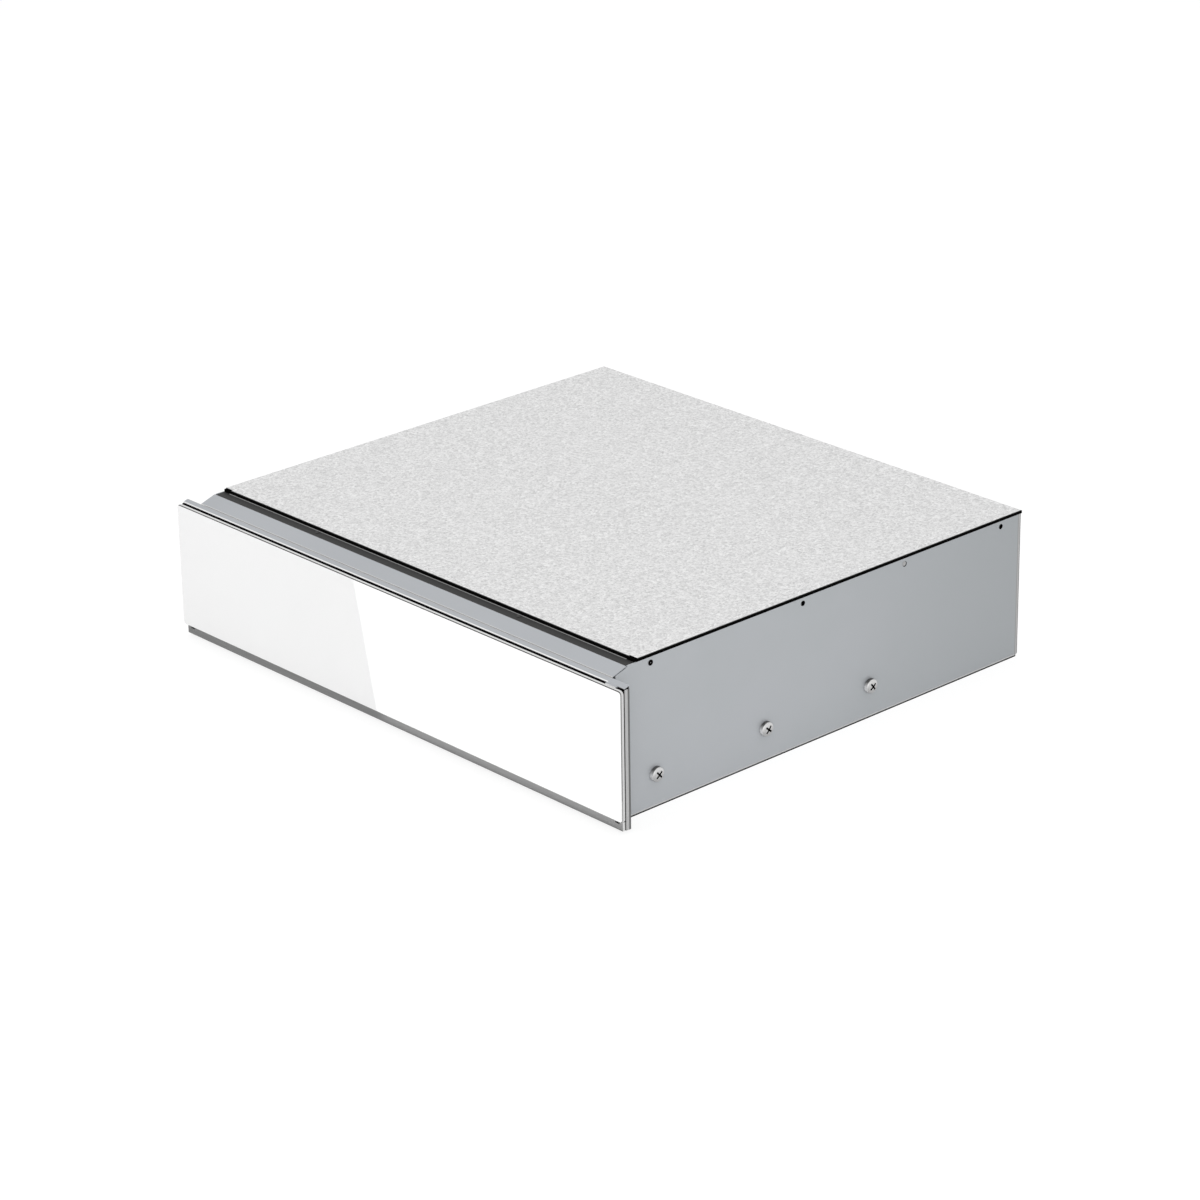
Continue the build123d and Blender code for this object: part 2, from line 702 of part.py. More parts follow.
HALF_FRAME = FRAME_WIDTH / 2
LIP_SLOT = (285.0, 291.0, 8.4, 9.8)  # across, and up
with BuildPart() as front_carrier:
    # plate behind the glass with a solid lip that stands out under the glass
    plate_x = HALF_CARRIER - 1
    slab(-plate_x, plate_x, CARRIER_FACE, CARRIER_BACK, LIP_TOP, 128.4)
    slab(-HALF_CARRIER, HALF_CARRIER, LIP_FACE, LIP_BACK, CARRIER_BOTTOM, LIP_TOP)
    for side in (-1, 1):
        slot = sorted((side * LIP_SLOT[0], side * LIP_SLOT[1]))
        cut(*slot, 0, 20, LIP_SLOT[2], LIP_SLOT[3])
save(front_carrier, "front_carrier")

GASKET_X = HALF_FRAME - 0.6
with BuildPart() as front_gasket:
    # black foam ring between the carrier and the frame, and a wedge under the cap,
    # seen as the dark line round the layers of the front
    slab(-GASKET_X, GASKET_X, CARRIER_BACK, FRAME_FACE, LIP_TOP, GLASS_TOP)
    slab(-GASKET_X, GASKET_X, LIP_BACK, FRAME_FACE, FRAME_BOTTOM + 0.2, LIP_TOP)
    cut(-280, 280, 0, 20, 24, 118)
    rise = (CAP_BACK[1] - CAP_FRONT[1]) / (CAP_BACK[0] - CAP_FRONT[0])
    under_front = CAP_FRONT[1] - CAP_SHEET + rise * (FRAME_FACE - CAP_FRONT[0])
    under_back = CAP_BACK[1] - CAP_SHEET - rise * CAP_SHEET
    cap_leg = CAP_BACK[0] - CAP_SHEET
    with BuildSketch(Plane.YZ):
        with BuildLine():
            wedge = [
                (FRAME_FACE, FRAME_TOP),
                (cap_leg, FRAME_TOP),
                (cap_leg, under_back),
                (FRAME_FACE, under_front),
            ]
            Polyline(*yz(wedge), close=True)
        make_face()
    extrude(amount=GASKET_X, both=True)
save(front_gasket, "front_gasket")

with BuildPart() as front_frame:
    # folded tray that gives the front its depth
    slab(-HALF_FRAME, HALF_FRAME, FRAME_FACE, FRAME_BACK, FRAME_BOTTOM, FRAME_TOP)
    wall = HALF_FRAME - SHEET
    cut(-wall, wall, FRAME_FACE + SHEET, 20, FRAME_BOTTOM + SHEET, FRAME_TOP - SHEET)
    # spacer pads to the plate in front
    for x in (-240, -80, 80, 240):
        slab(x - 12, x + 12, CARRIER_BACK, FRAME_FACE, 30, 110)
save(front_frame, "front_frame")

with BuildPart() as front_rear_plate:
    slab(-HALF_FRAME, HALF_FRAME, FRAME_BACK, REAR_PLATE_BACK, FRAME_BOTTOM, FRAME_TOP)
save(front_rear_plate, "front_rear_plate")

TAB = (275.5, 287.9)
with BuildPart() as front_top_rail:
    # bevelled cap of thin sheet along the top of the front, its back edge turned down
    # onto the rear plate, with one tab forward over the glass's top edge
    with BuildSketch(Plane.YZ):
        with BuildLine():
            section = [
                CAP_FRONT,
                CAP_BACK,
                (CAP_BACK[0], FRAME_TOP),
                (cap_leg, FRAME_TOP),
                (cap_leg, under_back),
                (CAP_FRONT[0], CAP_FRONT[1] - CAP_SHEET),
            ]
            Polyline(*yz(section), close=True)
        make_face()
    extrude(amount=HALF_FRAME, both=True)
    slab(*TAB, GLASS, CAP_FRONT[0] + 0.05, GLASS_TOP, CAP_FRONT[1])
save(front_top_rail, "front_top_rail")

with BuildPart() as drawer_seal:
    # draught lip round the back of the front, inside the mouth of the casing
    slab(-272.5, 272.5, REAR_PLATE_BACK, REAR_PLATE_BACK + 2.4, 5.0, 129.0)
    cut(-268.5, 268.5, 0, 20, 8.0, 125.0)
save(drawer_seal, "drawer_seal")

# ================================================================ tub
TUB_FRONT = REAR_PLATE_BACK
FLANGE = 6.0
with BuildPart() as inner_front_wall:
    slab(-TUB_X, TUB_X, TUB_FRONT, TUB_FRONT + SHEET, TUB_FLOOR, FASCIA_BOTTOM)
save(inner_front_wall, "inner_front_wall")

with BuildPart() as drawer_side:
    # upright sheet with its top edge turned outwards over the runner
    with BuildSketch(facing(TUB_FRONT + SHEET)):
        with BuildLine():
            FilletPolyline(
                (TUB_X - SHEET, TUB_FLOOR),
                (TUB_X - SHEET, TUB_SIDE_TOP),
                (TUB_X + FLANGE, TUB_SIDE_TOP),
                radius=1.8,
            )
            offset(amount=SHEET, side=Side.RIGHT)
        make_face()
    extrude(amount=-(TUB_BACK - TUB_FRONT - 2 * SHEET))
save(drawer_side, "drawer_side_right")
save_mirrored(drawer_side, "drawer_side_left")

with BuildPart() as drawer_floor:
    floor_x = TUB_X - SHEET
    slab(-floor_x, floor_x, TUB_FRONT + SHEET, TUB_BACK - SHEET, TUB_FLOOR, TUB_FLOOR + SHEET)
save(drawer_floor, "drawer_floor")

with BuildPart() as drawer_back:
    # back wall, slotted where the hot air comes through
    with BuildSketch(facing(TUB_BACK - SHEET)):
        with Locations((0, (TUB_FLOOR + TUB_BACK_TOP) / 2)):
            Rectangle(2 * TUB_X, TUB_BACK_TOP - TUB_FLOOR)
        for x in (-125, 0, 125):
            with Locations((x, FAN_Z)):
                with GridLocations(1, 14, 1, 5):
                    Rectangle(70, 7, mode=Mode.SUBTRACT)
    extrude(amount=-SHEET)
save(drawer_back, "drawer_back")

MAT = 2.0
with BuildPart() as anti_slip_mat:
    with BuildSketch(level(TUB_FLOOR + SHEET, 0, 211.6)):
        RectangleRounded(514, 394, 8)
    extrude(amount=MAT)
save(anti_slip_mat, "anti_slip_mat")

with BuildPart() as front_bracket:
    # angle that ties the tub's side to the front, above the runner
    with BuildSketch(level(62)):
        with BuildLine():
            Polyline(
                (TUB_X, back(70)),
                (TUB_X, back(REAR_PLATE_BACK)),
                (TUB_X + FLANGE, back(REAR_PLATE_BACK)),
            )
            offset(amount=1.5, side=Side.LEFT, kind=Kind.INTERSECTION)
        make_face()
    extrude(amount=50)
save(front_bracket, "front_bracket_right")
save_mirrored(front_bracket, "front_bracket_left")

with BuildPart() as bracket_screws:
    # screw heads inside the tub, where its sides are fastened to the brackets
    for side in (-1, 1):
        for z in (74.0, 100.0):
            for d in (54.0, 64.0):
                inward = Plane(
                    origin=(side * (TUB_X - SHEET), back(d), z),
                    x_dir=(0, 1, 0),
                    z_dir=(-side, 0, 0),
                )
                with BuildSketch(inward):
                    RegularPolygon(3.4, 6)
                extrude(amount=1.6)
save(bracket_screws, "bracket_screws")

with BuildPart() as latch_striker:
    slab(LATCH_X - 12, LATCH_X + 12, TUB_BACK, TUB_BACK + 2, 10, 34)
    chamfer(latch_striker.faces().sort_by(Axis.Y)[-1].edges(), 0.6)
save(latch_striker, "latch_striker")

# ================================================================ controls
FASCIA_X = TUB_X - SHEET
FASCIA_WALL = 2.0
KNOB_HOLE = 4.0
BUTTON_SIZE = (22.0, 12.0)
PLAY = 0.35
with BuildPart() as control_fascia:
    # moulded hood across the inside of the front, open underneath
    slab(-FASCIA_X, FASCIA_X, TUB_FRONT, FASCIA_BACK, FASCIA_BOTTOM, FASCIA_TOP)
    fillet(control_fascia.faces().sort_by(Axis.Z)[-1].edges().sort_by(Axis.Y)[-1], 3)
    room = FASCIA_X - FASCIA_WALL
    front = TUB_FRONT + FASCIA_WALL
    cut(-room, room, front, FASCIA_BACK - FASCIA_WALL, 0, FASCIA_TOP - FASCIA_WALL)
    with Locations(level(FASCIA_TOP, *KNOB)):
        Hole(KNOB_HOLE)
    with Locations(level(FASCIA_TOP, *LENS)):
        Hole(2.5)
    with BuildSketch(level(FASCIA_TOP, *BUTTON)):
        RectangleRounded(BUTTON_SIZE[0] + 2 * PLAY, BUTTON_SIZE[1] + 2 * PLAY, 2)
    extrude(amount=-2 * FASCIA_WALL, mode=Mode.SUBTRACT)
save(control_fascia, "control_fascia")

with BuildPart() as thermostat_body:
    # regulator under the hood, its spindle bearing open at the top
    slab(KNOB[0] - 17, KNOB[0] + 17, KNOB[1] - 13, KNOB[1] + 13, 98, 112)
    with BuildSketch(level(112, *KNOB)):
        Circle(7)
    extrude(amount=4)
    with BuildSketch(level(116, *KNOB)):
        Circle(3.05)
    extrude(amount=-14, mode=Mode.SUBTRACT)
save(thermostat_body, "thermostat_body")

with BuildPart() as switch_body:
    slab(BUTTON[0] - 14, BUTTON[0] + 14, BUTTON[1] - 9, BUTTON[1] + 9, 98, 111)
    for x in (-14.0, 13.0):
        slab(BUTTON[0] + x, BUTTON[0] + x + 1.0, BUTTON[1] - 9, BUTTON[1] + 9, 111, 116)
save(switch_body, "switch_body")

with BuildPart() as indicator_lens:
    with BuildSketch(level(FASCIA_TOP, *LENS)):
        Circle(2.5)
    extrude(amount=-6)
    with BuildSketch(level(FASCIA_TOP, *LENS)):
        Circle(2.5)
    extrude(amount=0.8)
save(indicator_lens, "indicator_lens")

with BuildPart() as knob_spindle:
    with BuildSketch(level(104, *KNOB)):
        Circle(3.0)
    extrude(amount=20)
save(knob_spindle, "knob_spindle")

KNOB_RADIUS = 12.0
KNOB_TOP = 128.0
KNOB_FLATS = 24
with BuildPart() as control_knob:
    # slightly conical, with flats for the fingers and a pointer groove on top
    with BuildSketch(level(FASCIA_TOP + 0.5, *KNOB)):
        RegularPolygon(KNOB_RADIUS, KNOB_FLATS)
    extrude(amount=KNOB_TOP - FASCIA_TOP - 0.5, taper=4)
    cut(KNOB[0] - 0.6, KNOB[0] + 0.6, KNOB[1] - 9, KNOB[1] - 3, KNOB_TOP - 0.6, KNOB_TOP + 1)
    with BuildSketch(level(FASCIA_TOP + 0.5, *KNOB)):
        Circle(3.0)
    extrude(amount=5.5, mode=Mode.SUBTRACT)
save(control_knob, "control_knob")

with BuildPart() as power_button:
    with BuildSketch(level(115.0, *BUTTON)):
        RectangleRounded(*BUTTON_SIZE, 1.8)
    extrude(amount=FASCIA_TOP + 2.2 - 115.0)
    chamfer(power_button.faces().sort_by(Axis.Z)[-1].edges(), 0.6)
save(power_button, "power_button")
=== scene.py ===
import json
import math
import random

import bmesh
import bpy
from mathutils import Matrix, Vector


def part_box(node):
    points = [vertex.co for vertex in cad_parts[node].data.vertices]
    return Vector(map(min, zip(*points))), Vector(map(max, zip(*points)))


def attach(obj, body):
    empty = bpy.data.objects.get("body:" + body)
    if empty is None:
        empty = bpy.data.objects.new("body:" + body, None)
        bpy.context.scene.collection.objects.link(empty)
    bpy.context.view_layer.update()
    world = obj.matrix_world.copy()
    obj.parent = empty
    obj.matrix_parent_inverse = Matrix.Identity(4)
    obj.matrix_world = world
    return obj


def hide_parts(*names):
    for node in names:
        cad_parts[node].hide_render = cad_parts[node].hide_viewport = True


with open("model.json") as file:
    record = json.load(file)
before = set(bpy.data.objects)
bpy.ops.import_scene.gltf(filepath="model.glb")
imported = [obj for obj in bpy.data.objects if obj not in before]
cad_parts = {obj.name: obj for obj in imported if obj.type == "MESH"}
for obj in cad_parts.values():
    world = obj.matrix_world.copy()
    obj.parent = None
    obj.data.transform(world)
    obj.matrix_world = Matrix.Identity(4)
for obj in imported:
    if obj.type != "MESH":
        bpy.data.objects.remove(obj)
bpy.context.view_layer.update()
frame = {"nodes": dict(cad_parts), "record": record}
nodes = frame["nodes"]

# ------------------------------------------------------------------ camera and light
MM = 0.001
HALF_DEPTH = 260.0  # mm; the glass face lies this far in front of the origin
CAMERA_AZIMUTH = 47.56
CAMERA_ELEVATION = 22.71
CAMERA_ROLL = -0.89
CAMERA_LENS = 119.27
CAMERA_PLACE = Vector((2.4662, -2.2644, 1.4483))

# the bright patch of floor in front of the glass, whose slanted edge shows in it
GLARE_EDGE = ((-0.0191, -0.2620), (-0.4211, -0.5500))
GLARE_REACH = 0.42
GLARE_LEVEL = 2.4
GLARE_HEIGHT = 0.002

FLOOR_REACH = 12.0
FLOOR_GLOW = 1.18
FLOOR_SHADOW = 0.3  # how much of the floor's own light and shadow shows

WORLD_LIGHT = 0.60
KEY_WATTS = 12.0
SIDE_WATTS = 3.4
TOP_WATTS = 17.5
FRONT_WATTS = 15.0


def camera_matrix():
    az, el = math.radians(CAMERA_AZIMUTH), math.radians(CAMERA_ELEVATION)
    backward = Vector((math.sin(az) * math.cos(el), -math.cos(az) * math.cos(el), math.sin(el)))
    right = (-backward).cross(Vector((0, 0, 1))).normalized()
    up = right.cross(-backward)
    roll = math.radians(CAMERA_ROLL)
    tilted_right = right * math.cos(roll) + up * math.sin(roll)
    tilted_up = up * math.cos(roll) - right * math.sin(roll)
    turn = Matrix((tilted_right, tilted_up, backward)).transposed().to_4x4()
    return Matrix.Translation(CAMERA_PLACE) @ turn


def add_camera():
    data = bpy.data.cameras.new("camera")
    data.sensor_width = 36.0
    data.lens = CAMERA_LENS
    data.clip_start = 0.05
    data.clip_end = 50.0
    camera = bpy.data.objects.new("camera", data)
    camera.matrix_world = camera_matrix()
    bpy.context.scene.collection.objects.link(camera)
    bpy.context.scene.camera = camera


def aim(thing, place, target):
    thing.location = place
    thing.rotation_mode = "QUATERNION"
    thing.rotation_quaternion = (Vector(target) - Vector(place)).to_track_quat("-Z", "Y")


def area_light(name, place, target, size, watts):
    data = bpy.data.lights.new(name, "AREA")
    data.shape = "RECTANGLE"
    data.size, data.size_y = size
    data.energy = watts
    lamp = bpy.data.objects.new(name, data)
    bpy.context.scene.collection.objects.link(lamp)
    aim(lamp, place, target)


def add_lights():
    area_light("key", (2.2, -1.9, 1.6), (0.25, -0.2, 0.05), (1.6, 1.2), KEY_WATTS)
    area_light("side", (1.75, -1.15, 0.5), (0.275, -0.2, 0.07), (0.8, 0.6), SIDE_WATTS)
    area_light("overhead", (-0.2, 0.3, 2.6), (0, 0, 0.1), (2.4, 2.0), TOP_WATTS)
    area_light("front", (-1.2, -2.8, 0.9), (-0.1, -0.26, 0.07), (1.6, 1.0), FRONT_WATTS)


# ------------------------------------------------------------------ shader helpers
def new_material(name):
    material = bpy.data.materials.new(name)
    material.use_nodes = True
    material.node_tree.nodes.clear()
    return material


class Shader:
    """A small builder for one material's node tree, around a Principled BSDF."""

    def __init__(self, name):
        self.material = new_material(name)
        self.tree = self.material.node_tree
        self.output = self.node("ShaderNodeOutputMaterial")
        self.surface = self.node("ShaderNodeBsdfPrincipled")
        self.link(self.surface.outputs[0], self.output.inputs["Surface"])

    def node(self, kind, **values):
        made = self.tree.nodes.new(kind)
        for key, value in values.items():
            setattr(made, key, value)
        return made

    def link(self, source, target):
        self.tree.links.new(source, target)

    def set(self, **values):
        for key, value in values.items():
            self.surface.inputs[key.replace("_", " ")].default_value = value
        return self

    def place(self, scale=(1, 1, 1)):
        """Position in metres in the shared frame, stretched by scale."""
        where = self.node("ShaderNodeTexCoord")
        mapping = self.node("ShaderNodeMapping")
        mapping.inputs["Scale"].default_value = scale
        self.link(where.outputs["Object"], mapping.inputs["Vector"])
        return mapping.outputs["Vector"]

    def noise(self, scale, detail=3.0, roughness=0.5, stretch=(1, 1, 1)):
        made = self.node("ShaderNodeTexNoise")
        made.inputs["Scale"].default_value = scale
        made.inputs["Detail"].default_value = detail
        made.inputs["Roughness"].default_value = roughness
        self.link(self.place(stretch), made.inputs["Vector"])
        return made.outputs["Fac"]

    def cells(self, scale, output="Color"):
        made = self.node("ShaderNodeTexVoronoi")
        made.inputs["Scale"].default_value = scale
        self.link(self.place(), made.inputs["Vector"])
        return made.outputs[output]

    def facing(self, axis):
        """How squarely the surface faces up an axis, -1 to 1."""
        where = self.node("ShaderNodeTexCoord")
        parts = self.node("ShaderNodeSeparateXYZ")
        self.link(where.outputs["Normal"], parts.inputs[0])
        return parts.outputs[axis]

    def faces(self, axis):
        """How squarely the surface faces along an axis, 0 to 1, either way."""
        return self.combine("ABSOLUTE", self.facing(axis), 0.0)

    def along(self, axis):
        """The position along one axis of the shared frame, in metres."""
        parts = self.node("ShaderNodeSeparateXYZ")
        self.link(self.place(), parts.inputs[0])
        return parts.outputs[axis]

    def span(self, value, low, high, start=0.3, end=0.7):
        """The value's start..end stretched to low..high."""
        made = self.node("ShaderNodeMapRange")
        made.inputs["From Min"].default_value = start
        made.inputs["From Max"].default_value = end
        made.inputs["To Min"].default_value = low
        made.inputs["To Max"].default_value = high
        self.link(value, made.inputs["Value"])
        return made.outputs["Result"]

    def steps(self, value, plain, lines, unit=0.00018):
        """The plain colour, with a line of another level between each pair of positions."""
        colour = plain
        for start, end, level in lines:
            rise = self.span(value, 0.0, 1.0, start - unit, start + unit)
            fall = self.span(value, 1.0, 0.0, end - unit, end + unit)
            colour = self.mix(self.combine("MULTIPLY", rise, fall), colour, grey(level))
        return colour

    def mix(self, amount, first, second):
        """Two colours, each a tuple or a socket, mixed by a socket."""
        made = self.node("ShaderNodeMix", data_type="RGBA")
        self.link(amount, made.inputs[0])
        for value, socket in ((first, made.inputs[6]), (second, made.inputs[7])):
            if isinstance(value, tuple):
                socket.default_value = (*value, 1.0)
            else:
                self.link(value, socket)
        return made.outputs[2]

    def combine(self, operation, first, second):
        made = self.node("ShaderNodeMath", operation=operation)
        for value, socket in ((first, made.inputs[0]), (second, made.inputs[1])):
            if isinstance(value, (int, float)):
                socket.default_value = value
            else:
                self.link(value, socket)
        return made.outputs[0]

    def weigh(self, first, second):
        """The sum of two sockets, each given with its weight."""
        return self.combine("ADD", *(self.combine("MULTIPLY", *pair) for pair in (first, second)))

    def colour(self, value):
        if isinstance(value, tuple):
            self.surface.inputs["Base Color"].default_value = (*value, 1.0)
        else:
            self.link(value, self.surface.inputs["Base Color"])
        return self

    def rough(self, value):
        if isinstance(value, (int, float)):
            self.surface.inputs["Roughness"].default_value = value
        else:
            self.link(value, self.surface.inputs["Roughness"])
        return self

    def bump(self, height, strength, distance):
        made = self.node("ShaderNodeBump")
        made.inputs["Strength"].default_value = strength
        made.inputs["Distance"].default_value = distance
        self.link(height, made.inputs["Height"])
        self.link(made.outputs["Normal"], self.surface.inputs["Normal"])
        return self


def grey(level):
    """A linear grey from an 8-bit display level."""
    return tilt(level, level, level)


def tilt(red, green, blue):
    """A linear colour from 8-bit display levels."""
    return tuple(
        (c / 255 / 12.92) if c / 255 <= 0.04045 else ((c / 255 + 0.055) / 1.055) ** 2.4
        for c in (red, green, blue)
    )


# ------------------------------------------------------------------ materials
LID_SHADE_RIM = 1.25  # mm; width of the painted shade along the lid's right and front edges, the dark line of the gap round the lid
RIM_BLUR = 0.2
LID_RIGHT = 0.2754
LID_FRONT = -0.2220

# fine lines of painted highlight and painted shade drawn by place, in metres: each from, to and
# 8-bit level
# the side panel's foot: a near-black line of painted shade, then a painted highlight along the
# bottom bend
SIDE_FOOT_LINES = ((0.0, 0.00135, 8), (0.00135, 0.0024, 214))
# the side panel's bent rear edge: painted shade, a painted highlight, then painted shade again
SIDE_REAR_LINES = ((0.2480, 0.2493, 158), (0.2493, 0.2507, 194), (0.2507, 0.2530, 60))
# the slope: painted light over the shade at its foot, and a painted highlight along its top edge
SLOPE_LINES = ((-0.24905, -0.2481, 200), (-0.2250, -0.2238, 250))
# the cap: a painted highlight along its front edge, and painted light over the shade at its back
CAP_LINES = ((-0.2543, -0.2531, 238), (-0.2492, -0.2484, 201))

# places in metres between which one colour passes into the next, several bounding painted light and
# painted shade
SIDE_SHADE_FALLOFF = (-0.02, 0.25)  # painted shade: the side panel's tone falls off towards the back, as the light does
GLASS_LEFT = (-0.2970, -0.2964)
LEDGE_RIDGE = (0.13880, 0.13895)
# bounds beyond which the base plate's upright faces are painted near-black as shade
BASE_SIDE = (0.2745, 0.2750)
BASE_FRONT = (-0.2450, -0.2445)
BASE_BACK = (0.2514, 0.2518)
TAB_START = (0.2753, 0.2757)  # where the cap's tab begins, across; the painted lines of light stop there


def galvanised_lid():
    """Zinc-coated sheet: a fine pale mottle of small crystals. Its edge faces and a band along its
    right and front rims are painted near-black as the shade of the gap round the lid.
    """
    m = Shader("galvanised_lid")
    grain = m.noise(820.0, 3.0, 0.6)
    blotch = m.noise(470.0, 2.0, 0.5)
    spangle = m.cells(520.0, "Color")
    fine = m.weigh((grain, 0.45), (spangle, 0.2))
    level = m.combine("ADD", fine, m.combine("MULTIPLY", blotch, 0.35))
    top = m.mix(m.span(level, 0.0, 1.0, 0.36, 0.64), grey(198), grey(252))
    # painted shade: a near-black band along the right and front rims, the dark line of the gap
    # round the lid
    outer, inner = (LID_SHADE_RIM - RIM_BLUR) * MM, LID_SHADE_RIM * MM
    right = m.span(m.along("X"), 0.0, 1.0, LID_RIGHT - inner, LID_RIGHT - outer)
    front = m.span(m.along("Y"), 1.0, 0.0, LID_FRONT + outer, LID_FRONT + inner)
    top = m.mix(m.combine("MAXIMUM", right, front), top, grey(5))
    # painted shade: the lid's edge faces near-black
    m.colour(m.mix(m.span(m.faces("Z"), 0.0, 1.0, 0.4, 0.6), grey(6), top))
    m.rough(m.span(grain, 0.5, 0.62)).set(Specular_IOR_Level=0.2)
    return m.bump(grain, 0.12, 0.0002).material


def galvanised_sheet():
    """The same coating on hidden and turned-away sheets, a little darker, with larger crystals."""
    m = Shader("galvanised_sheet")
    spangle = m.cells(150.0, "Color")
    grain = m.noise(300.0, 4.0, 0.6)
    cloud = m.noise(60.0, 3.0, 0.6)
    level = m.weigh((spangle, 0.35), (grain, 0.4))
    level = m.combine("ADD", level, m.combine("MULTIPLY", cloud, 0.25))
    m.colour(m.mix(m.span(level, 0.0, 1.0, 0.25, 0.75), grey(176), grey(202)))
    m.rough(m.span(grain, 0.38, 0.52)).set(Metallic=0.35)
    return m.bump(grain, 0.12, 0.0002).material


def satin_sheet():
    """Smooth satin grey sheet of the casing's sides, with painted shade falling off towards the
    back, and painted lines of shade and highlight along its foot and its bent rear edge.
    """
    m = Shader("satin_sheet")
    cloud = m.noise(9.0, 3.0, 0.5)
    grain = m.noise(900.0, 2.0, 0.5)
    field = m.mix(m.span(cloud, 0.0, 1.0), tilt(182, 186, 189), tilt(186, 189, 193))
    # painted shade: darker towards the back
    field = m.mix(m.span(m.along("Y"), 0.0, 1.0, *SIDE_SHADE_FALLOFF), field, tilt(171, 175, 178))
    # painted shade and painted highlight in fine lines at the foot and at the bent rear edge
    field = m.steps(m.along("Z"), field, SIDE_FOOT_LINES)
    m.colour(m.steps(m.along("Y"), field, SIDE_REAR_LINES))
    m.rough(m.span(grain, 0.44, 0.52)).set(Metallic=0.2)
    return m.bump(grain, 0.04, 0.0001).material


# also used as painted shade: the black in the screw recesses, the side holes and the gaps round the
# glass
def deep_black(name):
    """Matt black rubber or foam that gives back next to no light."""
    m = Shader(name)
    texture = m.noise(1200.0, 2.0, 0.6)
    m.colour(m.mix(m.span(texture, 0.0, 1.0), grey(4), grey(14)))
    m.rough(m.span(texture, 0.8, 0.92)).set(Specular_IOR_Level=0.0)
    return m.bump(texture, 0.1, 0.0001).material


def white_glass():
    """White back-painted glass: a clear hard coat over an even white, its ground rim greyer."""
    m = Shader("white_glass")
    cloud = m.noise(6.0, 2.0, 0.4)
    face = m.mix(m.span(cloud, 0.0, 1.0), grey(247), grey(249))
    face = m.mix(m.span(m.along("X"), 1.0, 0.0, *GLASS_LEFT), face, grey(206))
    chamfer = m.mix(m.span(m.faces("Z"), 0.0, 1.0, 0.3, 0.6), grey(118), grey(44))
    rim = m.mix(m.span(m.faces("Y"), 0.0, 1.0, 0.2, 0.72), grey(214), chamfer)
    m.colour(m.mix(m.span(m.faces("Y"), 0.0, 1.0, 0.8, 0.95), rim, face))
    ripple = m.noise(24.0, 2.0, 0.5)
    m.rough(m.span(ripple, 0.018, 0.03)).set(IOR=1.5, Coat_Weight=1.0, Coat_Roughness=0.02)
    return m.bump(ripple, 0.004, 0.001).material


def lip_metal():
    """Dark brushed lip under the glass, its cut ends painted bright as a highlight."""
    m = Shader("lip_metal")
    lines = m.noise(18.0, 5.0, 0.7, stretch=(1.0, 60.0, 60.0))
    long_faces = m.mix(m.span(lines, 0.0, 1.0), grey(112), grey(130))
    # painted highlight: the cut ends, facing across, much lighter than the long faces
    m.colour(m.mix(m.span(m.faces("X"), 0.0, 1.0, 0.6, 0.9), long_faces, grey(226)))
    m.rough(m.span(lines, 0.36, 0.5)).set(Metallic=0.3)
    return m.bump(lines, 0.06, 0.0001).material


def slope_sheet(name, lines):
    """The casing's satin sheet on the slope and the cap, with painted highlights on its cut and
    bent edges and painted light over the shade in the gap between them.
    """
    m = Shader(name)
    cloud = m.noise(7.0, 3.0, 0.5)
    grain = m.noise(900.0, 2.0, 0.5)
    field = m.mix(m.span(cloud, 0.0, 1.0), tilt(172, 175, 179), tilt(177, 180, 184))
    # painted highlight: faces turned to the front, the cut and bent edges, lighter
    field = m.mix(m.span(m.faces("Y"), 0.0, 1.0, 0.5, 0.8), field, grey(220))
    # painted highlights and painted light over the shade in the gap, by place
    lit = m.steps(m.along("Y"), field, lines)
    m.colour(m.mix(m.span(m.along("X"), 0.0, 1.0, *TAB_START), lit, field))
    m.rough(m.span(grain, 0.48, 0.58)).set(Metallic=0.15, Specular_IOR_Level=0.3)
    return m.bump(grain, 0.04, 0.0001).material


def ledge_plastic():
    """Black moulded ledge, all but matt, with a lighter line on its raised ridge."""
    m = Shader("ledge_plastic")
    texture = m.noise(1400.0, 2.0, 0.6)
    base = m.mix(m.span(texture, 0.0, 1.0), grey(44), grey(52))
    raised = m.span(m.along("Z"), 0.0, 1.0, *LEDGE_RIDGE)
    m.colour(m.mix(raised, base, grey(150)))
    m.rough(m.span(texture, 0.55, 0.68)).set(Specular_IOR_Level=0.2)
    return m.bump(texture, 0.1, 0.0001).material


def base_sheet():
    """Galvanised underside, its upright edge faces painted near-black as shade along the foot."""
    m = Shader("base_sheet")
    spangle = m.cells(150.0, "Color")
    grain = m.noise(300.0, 4.0, 0.6)
    level = m.weigh((spangle, 0.45), (grain, 0.55))
    flat = m.mix(m.span(level, 0.0, 1.0, 0.2, 0.8), grey(168), grey(194))
    across = m.combine("ABSOLUTE", m.along("X"), 0.0)
    sides = m.span(across, 0.0, 1.0, *BASE_SIDE)
    front = m.span(m.along("Y"), 1.0, 0.0, *BASE_FRONT)
    back = m.span(m.along("Y"), 0.0, 1.0, *BASE_BACK)
    border = m.combine("MAXIMUM", sides, m.combine("MAXIMUM", front, back))
    upright = m.span(m.faces("Z"), 1.0, 0.0, 0.4, 0.6)
    # painted shade: upright faces along the sides, front and back near-black
    m.colour(m.mix(m.combine("MULTIPLY", border, upright), flat, grey(6)))
    m.rough(m.span(grain, 0.5, 0.62)).set(Specular_IOR_Level=0.06)
    return m.bump(grain, 0.12, 0.0002).material


